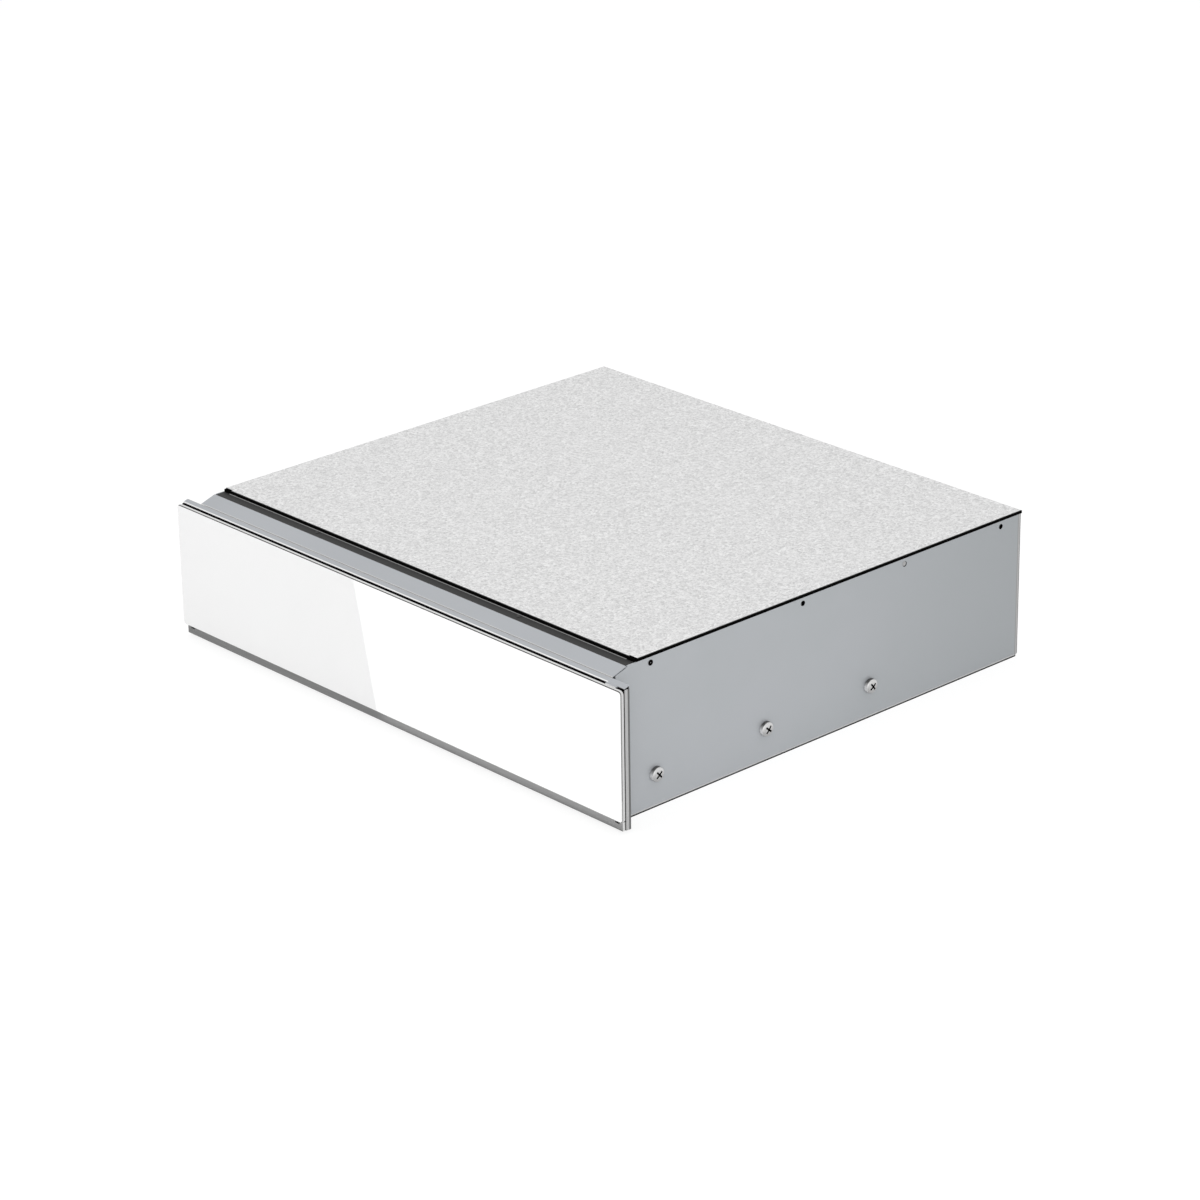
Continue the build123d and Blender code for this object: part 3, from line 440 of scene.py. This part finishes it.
def brushed(name, low, high, roughness, metallic, along=(1.0, 60.0, 60.0)):
    """Metal with fine lines along one axis."""
    m = Shader(name)
    lines = m.noise(18.0, 5.0, 0.7, stretch=along)
    m.colour(m.mix(m.span(lines, 0.0, 1.0), grey(low), grey(high)))
    m.rough(m.span(lines, roughness - 0.06, roughness + 0.08)).set(Metallic=metallic)
    return m.bump(lines, 0.06, 0.0001).material


def zinc(name="zinc_plate"):
    """Even zinc plating on runners, brackets and screws."""
    m = Shader(name)
    cloud = m.noise(160.0, 3.0, 0.6)
    m.colour(m.mix(m.span(cloud, 0.0, 1.0), grey(186), grey(198)))
    m.rough(m.span(cloud, 0.36, 0.42)).set(Metallic=0.5)
    return m.bump(cloud, 0.02, 0.0001).material


def moulded(name, level, roughness):
    """Fine-textured moulded plastic or rubber."""
    m = Shader(name)
    texture = m.noise(1400.0, 2.0, 0.6)
    m.colour(m.mix(m.span(texture, 0.0, 1.0), grey(level - 3), grey(level + 5)))
    m.rough(m.span(texture, roughness - 0.06, roughness + 0.08))
    return m.bump(texture, 0.12, 0.0001).material


def mat_rubber():
    """Grey silicone mat with a fine lattice of raised dots."""
    m = Shader("mat_rubber")
    dots = m.cells(250.0, "Distance")
    texture = m.noise(900.0, 2.0, 0.6)
    m.colour(m.mix(m.span(dots, 0.0, 1.0, 0.05, 0.5), grey(74), grey(58)))
    m.rough(m.span(texture, 0.55, 0.7))
    return m.bump(dots, -0.35, 0.0006).material


def wool():
    """Yellowish mineral wool with its fibres drawn out across."""
    m = Shader("mineral_wool")
    fibre = m.noise(420.0, 6.0, 0.75, stretch=(1.0, 0.25, 1.0))
    m.colour(m.mix(m.span(fibre, 0.0, 1.0), tilt(196, 184, 140), tilt(226, 216, 178)))
    m.rough(0.95)
    return m.bump(fibre, 0.7, 0.001).material


def heat_tint():
    """Steel sheath of the heater, browned by use."""
    m = Shader("heat_tinted_sheath")
    cloud = m.noise(60.0, 3.0, 0.6)
    m.colour(m.mix(m.span(cloud, 0.0, 1.0), tilt(96, 88, 84), tilt(132, 122, 112)))
    m.rough(m.span(cloud, 0.35, 0.5)).set(Metallic=0.6)
    return m.bump(cloud, 0.1, 0.0002).material


def lens():
    """Amber lens of the indicator lamp."""
    m = Shader("amber_lens")
    cloud = m.noise(600.0, 1.0, 0.5)
    m.colour(m.mix(m.span(cloud, 0.0, 1.0), tilt(214, 128, 30), tilt(232, 146, 42)))
    m.rough(0.12).set(Transmission_Weight=0.35, Coat_Weight=0.5)
    return m.material


MATERIALS = {
    "white_glass": white_glass(),
    # painted shade: black foam fills the gaps round the glass and under the cap, where shade falls
    "black_foam": deep_black("gap_shade_black"),
    "brushed_carrier": lip_metal(),
    "grey_frame": brushed("frame_metal", 184, 192, 0.42, 0.2),
    "dark_grey_frame": brushed("rear_plate_metal", 96, 108, 0.45, 0.2),
    "black_rubber": deep_black("black_rubber"),
    "stainless": brushed("stainless", 186, 204, 0.32, 0.7),
    "grey_rubber": mat_rubber(),
    "zinc_steel": zinc(),
    "screw_steel": zinc("screw_plate"),
    "dark_screw": moulded("dark_screw", 18, 0.36),
    "black_plastic": moulded("black_plastic", 62, 0.5),
    "amber_lens": lens(),
    "satin_knob": brushed("knob_metal", 176, 192, 0.34, 0.75, along=(40.0, 40.0, 1.0)),
    "galvanised": galvanised_sheet(),
    "galvanised_top": galvanised_lid(),
    "satin_grey_sheet": satin_sheet(),
    "mineral_wool": wool(),
    "aluminium_wheel": brushed("wheel_metal", 190, 206, 0.38, 0.7, along=(1.0, 1.0, 1.0)),
    "element_sheath": heat_tint(),
    "white_plastic": moulded("white_plastic", 222, 0.45),
}


# nodes whose material differs from the rest of their slot: the slope and cap carry painted
# highlights and painted light, the base plate painted shade
OWN_MATERIALS = {
    "front_slope_trim": slope_sheet("slope_sheet", SLOPE_LINES),
    "front_top_rail": slope_sheet("cap_sheet", CAP_LINES),
    "ledge_strip": ledge_plastic(),
    "base_plate": base_sheet(),
}


def dress_nodes():
    for part in frame["record"]["subparts"]:
        thing = nodes[part["node"]]
        material = OWN_MATERIALS.get(part["node"], MATERIALS[part["material_slot"]])
        for entry in thing.material_slots:
            entry.material = material


# ------------------------------------------------------------------ surroundings
def any_ray(tree, *kinds):
    """A socket that is 1 for rays of any of the kinds, else 0."""
    path = tree.nodes.new("ShaderNodeLightPath")
    seen = path.outputs[kinds[0]]
    for kind in kinds[1:]:
        either = tree.nodes.new("ShaderNodeMath")
        either.operation = "MAXIMUM"
        tree.links.new(seen, either.inputs[0])
        tree.links.new(path.outputs[kind], either.inputs[1])
        seen = either.outputs[0]
    return seen


def blended(tree, amount, first, second, output):
    """Two shader nodes mixed by a socket into the output."""
    blend = tree.nodes.new("ShaderNodeMixShader")
    for source, socket in zip((amount, first.outputs[0], second.outputs[0]), blend.inputs):
        tree.links.new(source, socket)
    tree.links.new(blend.outputs[0], output.inputs["Surface"])


def shown_white(name, seen, shadow_share):
    """White to the camera and in reflections, with the object's shadow left on it."""
    material = new_material(name)
    tree = material.node_tree
    output = tree.nodes.new("ShaderNodeOutputMaterial")
    diffuse = tree.nodes.new("ShaderNodeBsdfDiffuse")
    diffuse.inputs["Color"].default_value = (0.85, 0.85, 0.85, 1)
    glow = tree.nodes.new("ShaderNodeEmission")
    glow.inputs["Strength"].default_value = seen
    share = tree.nodes.new("ShaderNodeMath")
    share.operation = "MULTIPLY"
    share.inputs[1].default_value = 1.0 - shadow_share
    rays = any_ray(tree, "Is Camera Ray", "Is Glossy Ray", "Is Transmission Ray")
    tree.links.new(rays, share.inputs[0])
    blended(tree, share.outputs[0], diffuse, glow, output)
    return material


def flat_card(name, corners, material):
    mesh = bpy.data.meshes.new(name)
    mesh.from_pydata(corners, [], [range(len(corners))])
    card = bpy.data.objects.new(name, mesh)
    card.data.materials.append(material)
    bpy.context.scene.collection.objects.link(card)


def add_floor():
    square = ((-1, -1), (1, -1), (1, 1), (-1, 1))
    corners = [(x * FLOOR_REACH, y * FLOOR_REACH, 0) for x, y in square]
    flat_card("floor", corners, shown_white("floor_white", FLOOR_GLOW, FLOOR_SHADOW))


def add_world():
    world = bpy.data.worlds.new("world")
    bpy.context.scene.world = world
    world.use_nodes = True
    tree = world.node_tree
    tree.nodes.clear()
    output = tree.nodes.new("ShaderNodeOutputWorld")
    ambient = tree.nodes.new("ShaderNodeBackground")
    ambient.inputs["Strength"].default_value = WORLD_LIGHT
    seen = tree.nodes.new("ShaderNodeBackground")
    seen.inputs["Strength"].default_value = 1.0
    for shader in (ambient, seen):
        shader.inputs["Color"].default_value = (1, 1, 1, 1)
    blended(tree, any_ray(tree, "Is Camera Ray", "Is Glossy Ray"), ambient, seen, output)


def add_glare_card():
    """The bright patch of floor that the glass shows, seen by reflections alone."""
    near, far = (Vector((x, y, GLARE_HEIGHT)) for x, y in GLARE_EDGE)
    width = Vector((GLARE_REACH, 0, 0))
    material = new_material("glare")
    tree = material.node_tree
    output = tree.nodes.new("ShaderNodeOutputMaterial")
    glow = tree.nodes.new("ShaderNodeEmission")
    glow.inputs["Strength"].default_value = GLARE_LEVEL
    clear = tree.nodes.new("ShaderNodeBsdfTransparent")
    blended(tree, any_ray(tree, "Is Glossy Ray"), clear, glow, output)
    flat_card("glare_card", [near, near + width, far + width, far], material)


# ------------------------------------------------------------------ pieces of detail
def at(x, distance, z):
    """A point given in millimetres as x, distance behind the glass face and height."""
    return Vector((x, distance - HALF_DEPTH, z)) * MM


def piece(name, mesh, material, body, smooth=False):
    made = bpy.data.objects.new(name, mesh)
    bpy.context.scene.collection.objects.link(made)
    for one in material if isinstance(material, list) else [material]:
        made.data.materials.append(one)
    if smooth:
        for face in made.data.polygons:
            face.use_smooth = True
    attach(made, body)
    return made


def from_bmesh(name, shape):
    bmesh.ops.recalc_face_normals(shape, faces=shape.faces)
    mesh = bpy.data.meshes.new(name)
    shape.to_mesh(mesh)
    shape.free()
    return mesh


def plain_piece(name, shape, body, slot, smooth=False):
    """A piece in the material of its own slot."""
    return piece(name, from_bmesh(name, shape), MATERIALS[slot], body, smooth)


def turned(shape, profile, place, axis, sides):
    """Adds a body of revolution: profile is (radius, height) in mm, from place along axis."""
    turn = Vector(axis).to_track_quat("Z", "Y").to_matrix()
    rings = []
    for radius, height in profile:
        ring = []
        for i in range(sides if radius > 0 else 1):
            angle = 2 * math.pi * i / sides
            offset = Vector((radius * math.cos(angle), radius * math.sin(angle), height)) * MM
            ring.append(shape.verts.new(place + turn @ offset))
        rings.append(ring)
    for low, high in zip(rings, rings[1:]):
        for i in range(sides):
            j = (i + 1) % sides
            corners = ((low, i), (low, j), (high, j), (high, i))
            unique = list(dict.fromkeys(ring[k % len(ring)] for ring, k in corners))
            if len(unique) > 2:
                shape.faces.new(unique)


def box_into(shape, low, high, turn=None, about=None):
    """Adds a box between two corners, turned about a point if asked."""
    made = bmesh.ops.create_cube(shape, size=1.0)["verts"]
    centre, size = (low + high) / 2, high - low
    for vert in made:
        vert.co = Vector(vert.co[i] * size[i] + centre[i] for i in range(3))
        if turn:
            vert.co = about + turn @ (vert.co - about)


def cut_away(target, cutter):
    """Takes one object's shape off another for good."""
    tool = target.modifiers.new("cut", "BOOLEAN")
    tool.object = cutter
    tool.operation = "DIFFERENCE"
    tool.solver = "EXACT"
    bpy.context.view_layer.update()
    graph = bpy.context.evaluated_depsgraph_get()
    done = bpy.data.meshes.new_from_object(target.evaluated_get(graph))
    target.modifiers.clear()
    target.data = done
    bpy.data.objects.remove(cutter)


def smooth_but(mesh, degrees):
    """Smooth shading, kept sharp at edges steeper than the angle."""
    for face in mesh.polygons:
        face.use_smooth = True
    mesh.set_sharp_from_angle(angle=math.radians(degrees))


PAN_HEAD = (  # radius and height above the panel, from the undercut to the top of the dome
    (0.0, 0.0), (6.2, 0.0), (6.2, 0.45), (6.7, 0.45), (6.7, 3.1), (6.5, 3.6),
    (6.0, 4.05), (5.1, 4.45), (3.9, 4.75), (2.4, 4.93), (0.0, 5.0),
)
RUNNER_SCREWS = (58.8, 188.0, 317.0)
RUNNER_Z = 31.2
PANEL_X = 275.4
RECESS_TURNS = (42.0, 50.0, 38.0)  # each screw's cross stands as it was left
RECESS_ARM = (4.0, 0.85)  # half length and half width
RECESS_FLOOR = 2.9
RECESS_OPEN = 5.6
SIDE_SCREWS = (54.2, 359.9)
SIDE_HOLES = (233.5, 485.0)
SIDE_FIXING_Z = 133.6


def screw_bright():
    """Plated head with painted reflections and shade: its wall dark on top, bright in front and
    dark at its foot, its face lighter towards the top.
    """
    m = Shader("screw_bright")
    upward = m.facing("Z")
    cloud = m.noise(700.0, 2.0, 0.5)
    # painted reflection: the wall dark where it faces up, bright where it faces sideways
    wall = m.mix(m.span(upward, 0.0, 1.0, 0.1, 0.75), grey(236), grey(84))
    # painted shade: the wall dark where it faces down
    wall = m.mix(m.span(upward, 0.0, 1.0, -0.35, -0.9), wall, grey(96))
    # painted light: the face lighter where it turns upwards
    face = m.mix(m.span(upward, 0.0, 1.0, -0.15, 0.25), grey(178), grey(222))
    m.colour(m.mix(m.span(m.faces("X"), 0.0, 1.0, 0.35, 0.75), wall, face))
    m.rough(m.span(cloud, 0.26, 0.36)).set(Metallic=0.25)
    return m.bump(cloud, 0.05, 0.0001).material


def cross_into(shape, place, side, degrees):
    """Adds the prism of a cross recess, from its floor to past the head."""
    long, wide = RECESS_ARM
    outline = [
        (long, wide), (wide, wide), (wide, long), (-wide, long), (-wide, wide), (-long, wide),
        (-long, -wide), (-wide, -wide), (-wide, -long), (wide, -long), (wide, -wide), (long, -wide),
    ]
    turn = Matrix.Rotation(math.radians(degrees), 3, "X")
    ends = []
    for height in (RECESS_FLOOR, RECESS_OPEN):
        points = (place + turn @ Vector((side * height, u, v)) * MM for u, v in outline)
        ends.append([shape.verts.new(point) for point in points])
    for ring in ends:
        shape.faces.new(ring)
    for i in range(len(outline)):
        j = (i + 1) % len(outline)
        shape.faces.new((ends[0][i], ends[0][j], ends[1][j], ends[1][i]))


def add_rail_screws():
    """Domed pan heads with a driven cross recess, painted black in its depth as shade."""
    # the heads carry painted reflections and shade; the recess is painted shade
    head, recess = screw_bright(), deep_black("recess_shade")
    for side, label in ((1, "right"), (-1, "left")):
        heads, crosses = bmesh.new(), bmesh.new()
        for distance, degrees in zip(RUNNER_SCREWS, RECESS_TURNS):
            place = at(side * PANEL_X, distance, RUNNER_Z)
            turned(heads, PAN_HEAD, place, (side, 0, 0), 56)
            cross_into(crosses, place, side, degrees)
        name, mesh = f"runner_screws_{label}", from_bmesh("heads", heads)
        holder = piece(name, mesh, [head, recess], "casing")
        cutter = bpy.data.objects.new("crosses", from_bmesh("crosses", crosses))
        bpy.context.scene.collection.objects.link(cutter)
        for material in (head, recess):
            cutter.data.materials.append(material)
        for face in cutter.data.polygons:
            face.material_index = 1
        cut_away(holder, cutter)
        smooth_but(holder.data, 32)
        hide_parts(f"rail_screws_{label}")


def add_side_fixings():
    """Two small screws near the top of each side, and black bushes in the two open holes, as
    painted shade.

    The front screw is a black socket head; the rear one a grey head, set off the middle of a black
    disc whose uncovered rim is a painted shadow crescent.
    """
    black, pale = deep_black("fixing_black"), moulded("fixing_grey", 176, 0.4)
    dark, light = bmesh.new(), bmesh.new()
    for side in (-1, 1):
        for distance in SIDE_HOLES:
            place = at(side * (PANEL_X - 2.0), distance, SIDE_FIXING_Z)
            # painted shade: black bushes in the open holes, darkening them
            bush = ((1.95, 0.0), (1.95, 2.02), (2.35, 2.12), (2.45, 2.02))
            turned(dark, bush, place, (side, 0, 0), 32)
        front, rear = (at(side * PANEL_X, distance, SIDE_FIXING_Z) for distance in SIDE_SCREWS)
        ring = ((0, 0), (2.6, 0.0), (2.6, 0.3), (2.3, 0.62), (1.0, 0.7), (0.8, 0.25), (0, 0.25))
        turned(dark, ring, front, (side, 0, 0), 32)
        turned(light, ((0, 0.26), (0.35, 0.26), (0.35, 0.36), (0, 0.36)), front, (side, 0, 0), 24)
        # painted shadow: a black disc behind the rear head, its uncovered rim a crescent
        turned(dark, ((0, 0), (2.5, 0.0), (2.5, 0.12), (0, 0.12)), rear, (side, 0, 0), 32)
        offset = Vector((0, -0.75, 0.55)) * MM
        head = ((0, 0.13), (2.1, 0.13), (2.1, 0.3), (1.7, 0.45), (0.8, 0.5), (0, 0.5))
        turned(light, head, rear + offset, (side, 0, 0), 32)
    for name, shape, material in (("side_fixings", dark, black), ("side_screw_heads", light, pale)):
        made = piece(name, from_bmesh(name, shape), material, "casing")
        smooth_but(made.data, 32)
        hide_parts("top_frame_screws")


def add_lid_edging():
    """Painted shade: a thin black skin round the lid's cut edge and the gap below it, the dark line
    round the lid.
    """
    out = 0.12  # thickness
    low, high = 138.9, 141.42
    lid_front, lid_back = 38.0, 512.8
    shape = bmesh.new()
    for side in (-1, 1):
        x = sorted((side * PANEL_X, side * (PANEL_X + out)))
        box_into(shape, at(x[0], 40.5, low), at(x[1], lid_back + out, high))
    box_into(shape, at(-PANEL_X, lid_back, low), at(PANEL_X, lid_back + out, high))
    box_into(shape, at(-265.5, lid_front - out, low), at(265.5, lid_front, high))
    plain_piece("lid_edge_shade", shape, "casing", "black_rubber")


def add_insulation():
    """The mineral wool as a soft, uneven batt between the tray and the lid."""
    low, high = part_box("insulation_pad")
    low, high = Vector(low), Vector(high)
    shape = bmesh.new()
    bmesh.ops.create_grid(shape, x_segments=60, y_segments=42, size=0.5)
    rng = random.Random(7)
    ranges = ((20, 70), (20, 70), (0, 6.3), (0.15, 0.5))  # of two wave numbers, phase and height
    waves = [tuple(rng.uniform(*limits) for limits in ranges) for _ in range(9)]
    size = high - low
    for vert in shape.verts:
        u, v = vert.co.x, vert.co.y
        x, y = low.x + (u + 0.5) * size.x, low.y + (v + 0.5) * size.y
        fall = min(0.5 - abs(u), 0.5 - abs(v)) / 0.5
        edge = 1.0 - max(0.0, 1.0 - fall * 14) ** 2 * 0.6
        hump = sum(h * math.sin(a * x + b * y + c) for a, b, c, h in waves) * 0.0004
        vert.co = (x, y, min(high.z, low.z + size.z * edge * 0.93 + hump))
    top = list(shape.faces)
    made = bmesh.ops.extrude_face_region(shape, geom=top)
    for vert in (g for g in made["geom"] if isinstance(g, bmesh.types.BMVert)):
        vert.co.z = low.z
    batt = plain_piece("insulation_batt", shape, "casing", "mineral_wool", True)
    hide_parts("insulation_pad")


HEATER = 450.0
HEATER_RADIUS = 54.0
HEATER_TUBE = 3.05
HEATER_FROM = -69  # degrees, one end of the open ring
HEATER_SWEEP = 318
HEATER_STEPS = 90
FOOT_HALF = 3.7  # of the square section of its feet
FOOT_BACK = 16.0
FOOT_RUN = 7.5
FOOT_FACE = 0.00003  # square metres; a foot's faces are larger than any of the tube's
FAN_Z = 66.0


def add_heater():
    """A smooth tubular ring in place of the plain one, on its two rectangular feet."""
    data = bpy.data.curves.new("heater_ring", "CURVE")
    data.dimensions = "3D"
    data.bevel_depth = HEATER_TUBE * MM
    data.bevel_resolution = 6
    data.use_fill_caps = True
    spline = data.splines.new("POLY")
    spline.points.add(HEATER_STEPS)
    for i, point in enumerate(spline.points):
        angle = math.radians(HEATER_FROM + HEATER_SWEEP * i / HEATER_STEPS)
        spot = at(HEATER_RADIUS * math.cos(angle), HEATER, FAN_Z + HEATER_RADIUS * math.sin(angle))
        point.co = (*spot, 1.0)
    ring = bpy.data.objects.new("heater_ring", data)
    bpy.context.scene.collection.objects.link(ring)
    graph = bpy.context.evaluated_depsgraph_get()
    mesh = bpy.data.meshes.new_from_object(ring.evaluated_get(graph))
    bpy.data.objects.remove(ring)
    shape = bmesh.new()
    shape.from_mesh(mesh)
    for degrees, outward in ((HEATER_FROM, -1), (HEATER_FROM + HEATER_SWEEP, 1)):
        angle = math.radians(degrees)
        end = at(HEATER_RADIUS * math.cos(angle), HEATER, FAN_Z + HEATER_RADIUS * math.sin(angle))
        turn = Matrix.Rotation(-angle, 3, "Y")
        low = Vector((-FOOT_HALF, -FOOT_HALF, 0.0 if outward > 0 else -FOOT_RUN)) * MM
        high = Vector((FOOT_HALF, FOOT_BACK, FOOT_RUN if outward > 0 else 0.0)) * MM
        box_into(shape, end + low, end + high, turn, end)
    bent = plain_piece("heater_ring", shape, "casing", "element_sheath")
    for face in bent.data.polygons:
        face.use_smooth = len(face.vertices) == 4 and face.area < FOOT_FACE
    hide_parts("heating_element")


KNOB = (190.0, 29.0)
BUTTON = (120.0, 29.0)
FASCIA_TOP = 118.0
PRINT_HEIGHT = 0.03  # thickness of the printed marks


def printed(name, words, size, x, distance):
    """The mesh of some words, lying on the fascia about a point."""
    data = bpy.data.curves.new(name, "FONT")
    data.body = words
    data.size = size * MM
    data.extrude = PRINT_HEIGHT * MM / 2
    data.align_x = "CENTER"
    data.align_y = "CENTER"
    mark = bpy.data.objects.new(name, data)
    mark.location = at(x, distance, FASCIA_TOP + PRINT_HEIGHT / 2)
    bpy.context.scene.collection.objects.link(mark)
    bpy.context.view_layer.update()
    graph = bpy.context.evaluated_depsgraph_get()
    mesh = bpy.data.meshes.new_from_object(mark.evaluated_get(graph))
    mesh.transform(mark.matrix_world)
    bpy.data.objects.remove(mark)
    return mesh


KNOB_START = 270.0  # the pointer's angle at the low end, seen from above
KNOB_SWEEP = -270.0
DIAL_STEPS = 4
DIAL_RADIUS = 14.5
DIGIT = 2.7


def add_dial_print():
    """Steps 0 to 4 round the knob's sweep, a dot between each two, and an on-off sign."""
    ink = moulded("printed_white", 214, 0.5)
    shape = bmesh.new()
    for half in range(2 * DIAL_STEPS + 1):
        angle = math.radians(KNOB_START + KNOB_SWEEP * half / (2 * DIAL_STEPS))
        x = KNOB[0] + DIAL_RADIUS * math.cos(angle)
        distance = KNOB[1] + DIAL_RADIUS * math.sin(angle)
        if half % 2 == 0:
            step = half // 2
            shape.from_mesh(printed(f"step_{step}", str(step), DIGIT, x, distance))
        else:
            radius = 0.3 + 0.03 * half
            dot = ((0, 0), (radius, 0), (radius, PRINT_HEIGHT), (0, PRINT_HEIGHT))
            turned(shape, dot, at(x, distance, FASCIA_TOP), (0, 0, 1), 12)
    shape.from_mesh(printed("on_off", "0 I", 3.4, BUTTON[0] + 17.5, BUTTON[1]))
    piece("dial_print", from_bmesh("dial_print", shape), ink, "drawer")


FAN_FRONT = 440.0
BLADE_DEPTH = 18.0
BLADE_SUNK = 0.3  # into the back disc
BLADE_POINTS = 9  # along each arc
BLADES = 12
BLADE_FRONT_ARC = ((17.0, 0.0), (31.0, 4.5), (43.0, 14.0))
BLADE_BACK_ARC = ((17.0, 1.0), (30.6, 5.5), (42.4, 14.9))
DISC_RADIUS = 44.0
DISC_SHEET = 1.2
HUB_RADIUS = 9.0
HUB_DEPTH = 15.2
HUB_BEVEL = 0.6
BORE = 2.55


def along_arc(points, count):
    """Points spread evenly along the arc through three given ones."""
    (ax, ay), (bx, by), (cx, cy) = points
    scale = 2 * (ax * (by - cy) + bx * (cy - ay) + cx * (ay - by))
    a2, b2, c2 = (x * x + y * y for x, y in points)
    mid_x = (a2 * (by - cy) + b2 * (cy - ay) + c2 * (ay - by)) / scale
    mid_y = (a2 * (cx - bx) + b2 * (ax - cx) + c2 * (bx - ax)) / scale
    radius = math.hypot(ax - mid_x, ay - mid_y)
    start = math.atan2(ay - mid_y, ax - mid_x)
    sweep = (math.atan2(cy - mid_y, cx - mid_x) - start + math.pi) % (2 * math.pi) - math.pi
    angles = (start + sweep * i / (count - 1) for i in range(count))
    return [(mid_x + radius * math.cos(t), mid_y + radius * math.sin(t)) for t in angles]


def blade_into(shape, turn_by):
    """Adds one curved blade, a closed prism between its two arcs."""
    sides = [along_arc(arc, BLADE_POINTS) for arc in (BLADE_FRONT_ARC, BLADE_BACK_ARC)]
    cos, sin = math.cos(turn_by), math.sin(turn_by)
    corners = {}
    for edge, points in enumerate(sides):
        for end, depth in enumerate((0.0, BLADE_DEPTH + BLADE_SUNK)):
            for i, (u, v) in enumerate(points):
                spot = at(u * cos - v * sin, FAN_FRONT + depth, FAN_Z + u * sin + v * cos)
                corners[edge, end, i] = shape.verts.new(spot)
    around = []
    for i in range(BLADE_POINTS - 1):
        j = i + 1
        around += [((0, end, i), (0, end, j), (1, end, j), (1, end, i)) for end in (0, 1)]
        around += [((edge, 0, i), (edge, 0, j), (edge, 1, j), (edge, 1, i)) for edge in (0, 1)]
    for i in (0, BLADE_POINTS - 1):
        around.append(((0, 0, i), (1, 0, i), (1, 1, i), (0, 1, i)))
    for face in around:
        shape.faces.new([corners[key] for key in face])


def add_fan_wheel():
    """The radial wheel: a back disc, a bored hub and its full ring of curved blades."""
    shape = bmesh.new()
    section = (
        (BORE, 0.0), (DISC_RADIUS, 0.0), (DISC_RADIUS, DISC_SHEET), (HUB_RADIUS, DISC_SHEET),
        (HUB_RADIUS, HUB_DEPTH - HUB_BEVEL), (HUB_RADIUS - HUB_BEVEL, HUB_DEPTH),
        (BORE, HUB_DEPTH), (BORE, 0.0),
    )
    rear = at(0.0, FAN_FRONT + BLADE_DEPTH + DISC_SHEET, FAN_Z)
    turned(shape, section, rear, (0, -1, 0), 64)
    bmesh.ops.remove_doubles(shape, verts=shape.verts, dist=1e-6)
    for i in range(BLADES):
        blade_into(shape, 2 * math.pi * i / BLADES)
    wheel = plain_piece("fan_blades", shape, "fan", "aluminium_wheel")
    smooth_but(wheel.data, 30)
    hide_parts("fan_wheel")


INNER_X = 274.4
BALL_ROWS = (  # depth from the side panel, height from the runner's middle, radius, strip's ends
    (3.6, 15.0, 1.25, (12.6, 18.6)),
    (8.3, 17.5, 0.95, (14.5, 19.2)),
)
BALL_COUNT = 18
BALL_FIRST = 28.0
BALL_PITCH = 12.0
CAGE_ENDS = (22.0, 240.0)
CAGE_HALF = 0.3  # half its sheet


def add_ball_cages():
    """Steel balls in their pressed retainers, in the races of the middle runner members."""
    cage = zinc("cage_plate")
    for side, label in ((1, "right"), (-1, "left")):
        strips, balls = bmesh.new(), bmesh.new()
        for deep, high, radius, ends in BALL_ROWS:
            for level in (-1, 1):
                x = sorted(side * (INNER_X - deep + t) for t in (-CAGE_HALF, CAGE_HALF))
                z = sorted(RUNNER_Z + level * end for end in ends)
                near, far = (at(x[i], CAGE_ENDS[i], z[i]) for i in (0, 1))
                box_into(strips, near, far)
                for i in range(BALL_COUNT):
                    distance = BALL_FIRST + BALL_PITCH * i
                    spot = at(side * (INNER_X - deep), distance, RUNNER_Z + level * high)
                    made = bmesh.ops.create_uvsphere(
                        balls, u_segments=14, v_segments=8, radius=radius * MM
                    )
                    for vert in made["verts"]:
                        vert.co += spot
        body = f"runner_{label}"
        piece(f"ball_cage_{label}", from_bmesh("cage", strips), cage, body)
        steel = MATERIALS["screw_steel"]
        piece(f"balls_{label}", from_bmesh("balls", balls), steel, body, True)


add_camera()
add_world()
add_lights()
add_floor()
add_glare_card()
dress_nodes()
add_rail_screws()
add_side_fixings()
add_lid_edging()
add_insulation()
add_heater()
add_fan_wheel()
add_dial_print()
add_ball_cages()

scene = bpy.context.scene
scene.view_settings.view_transform = "Standard"
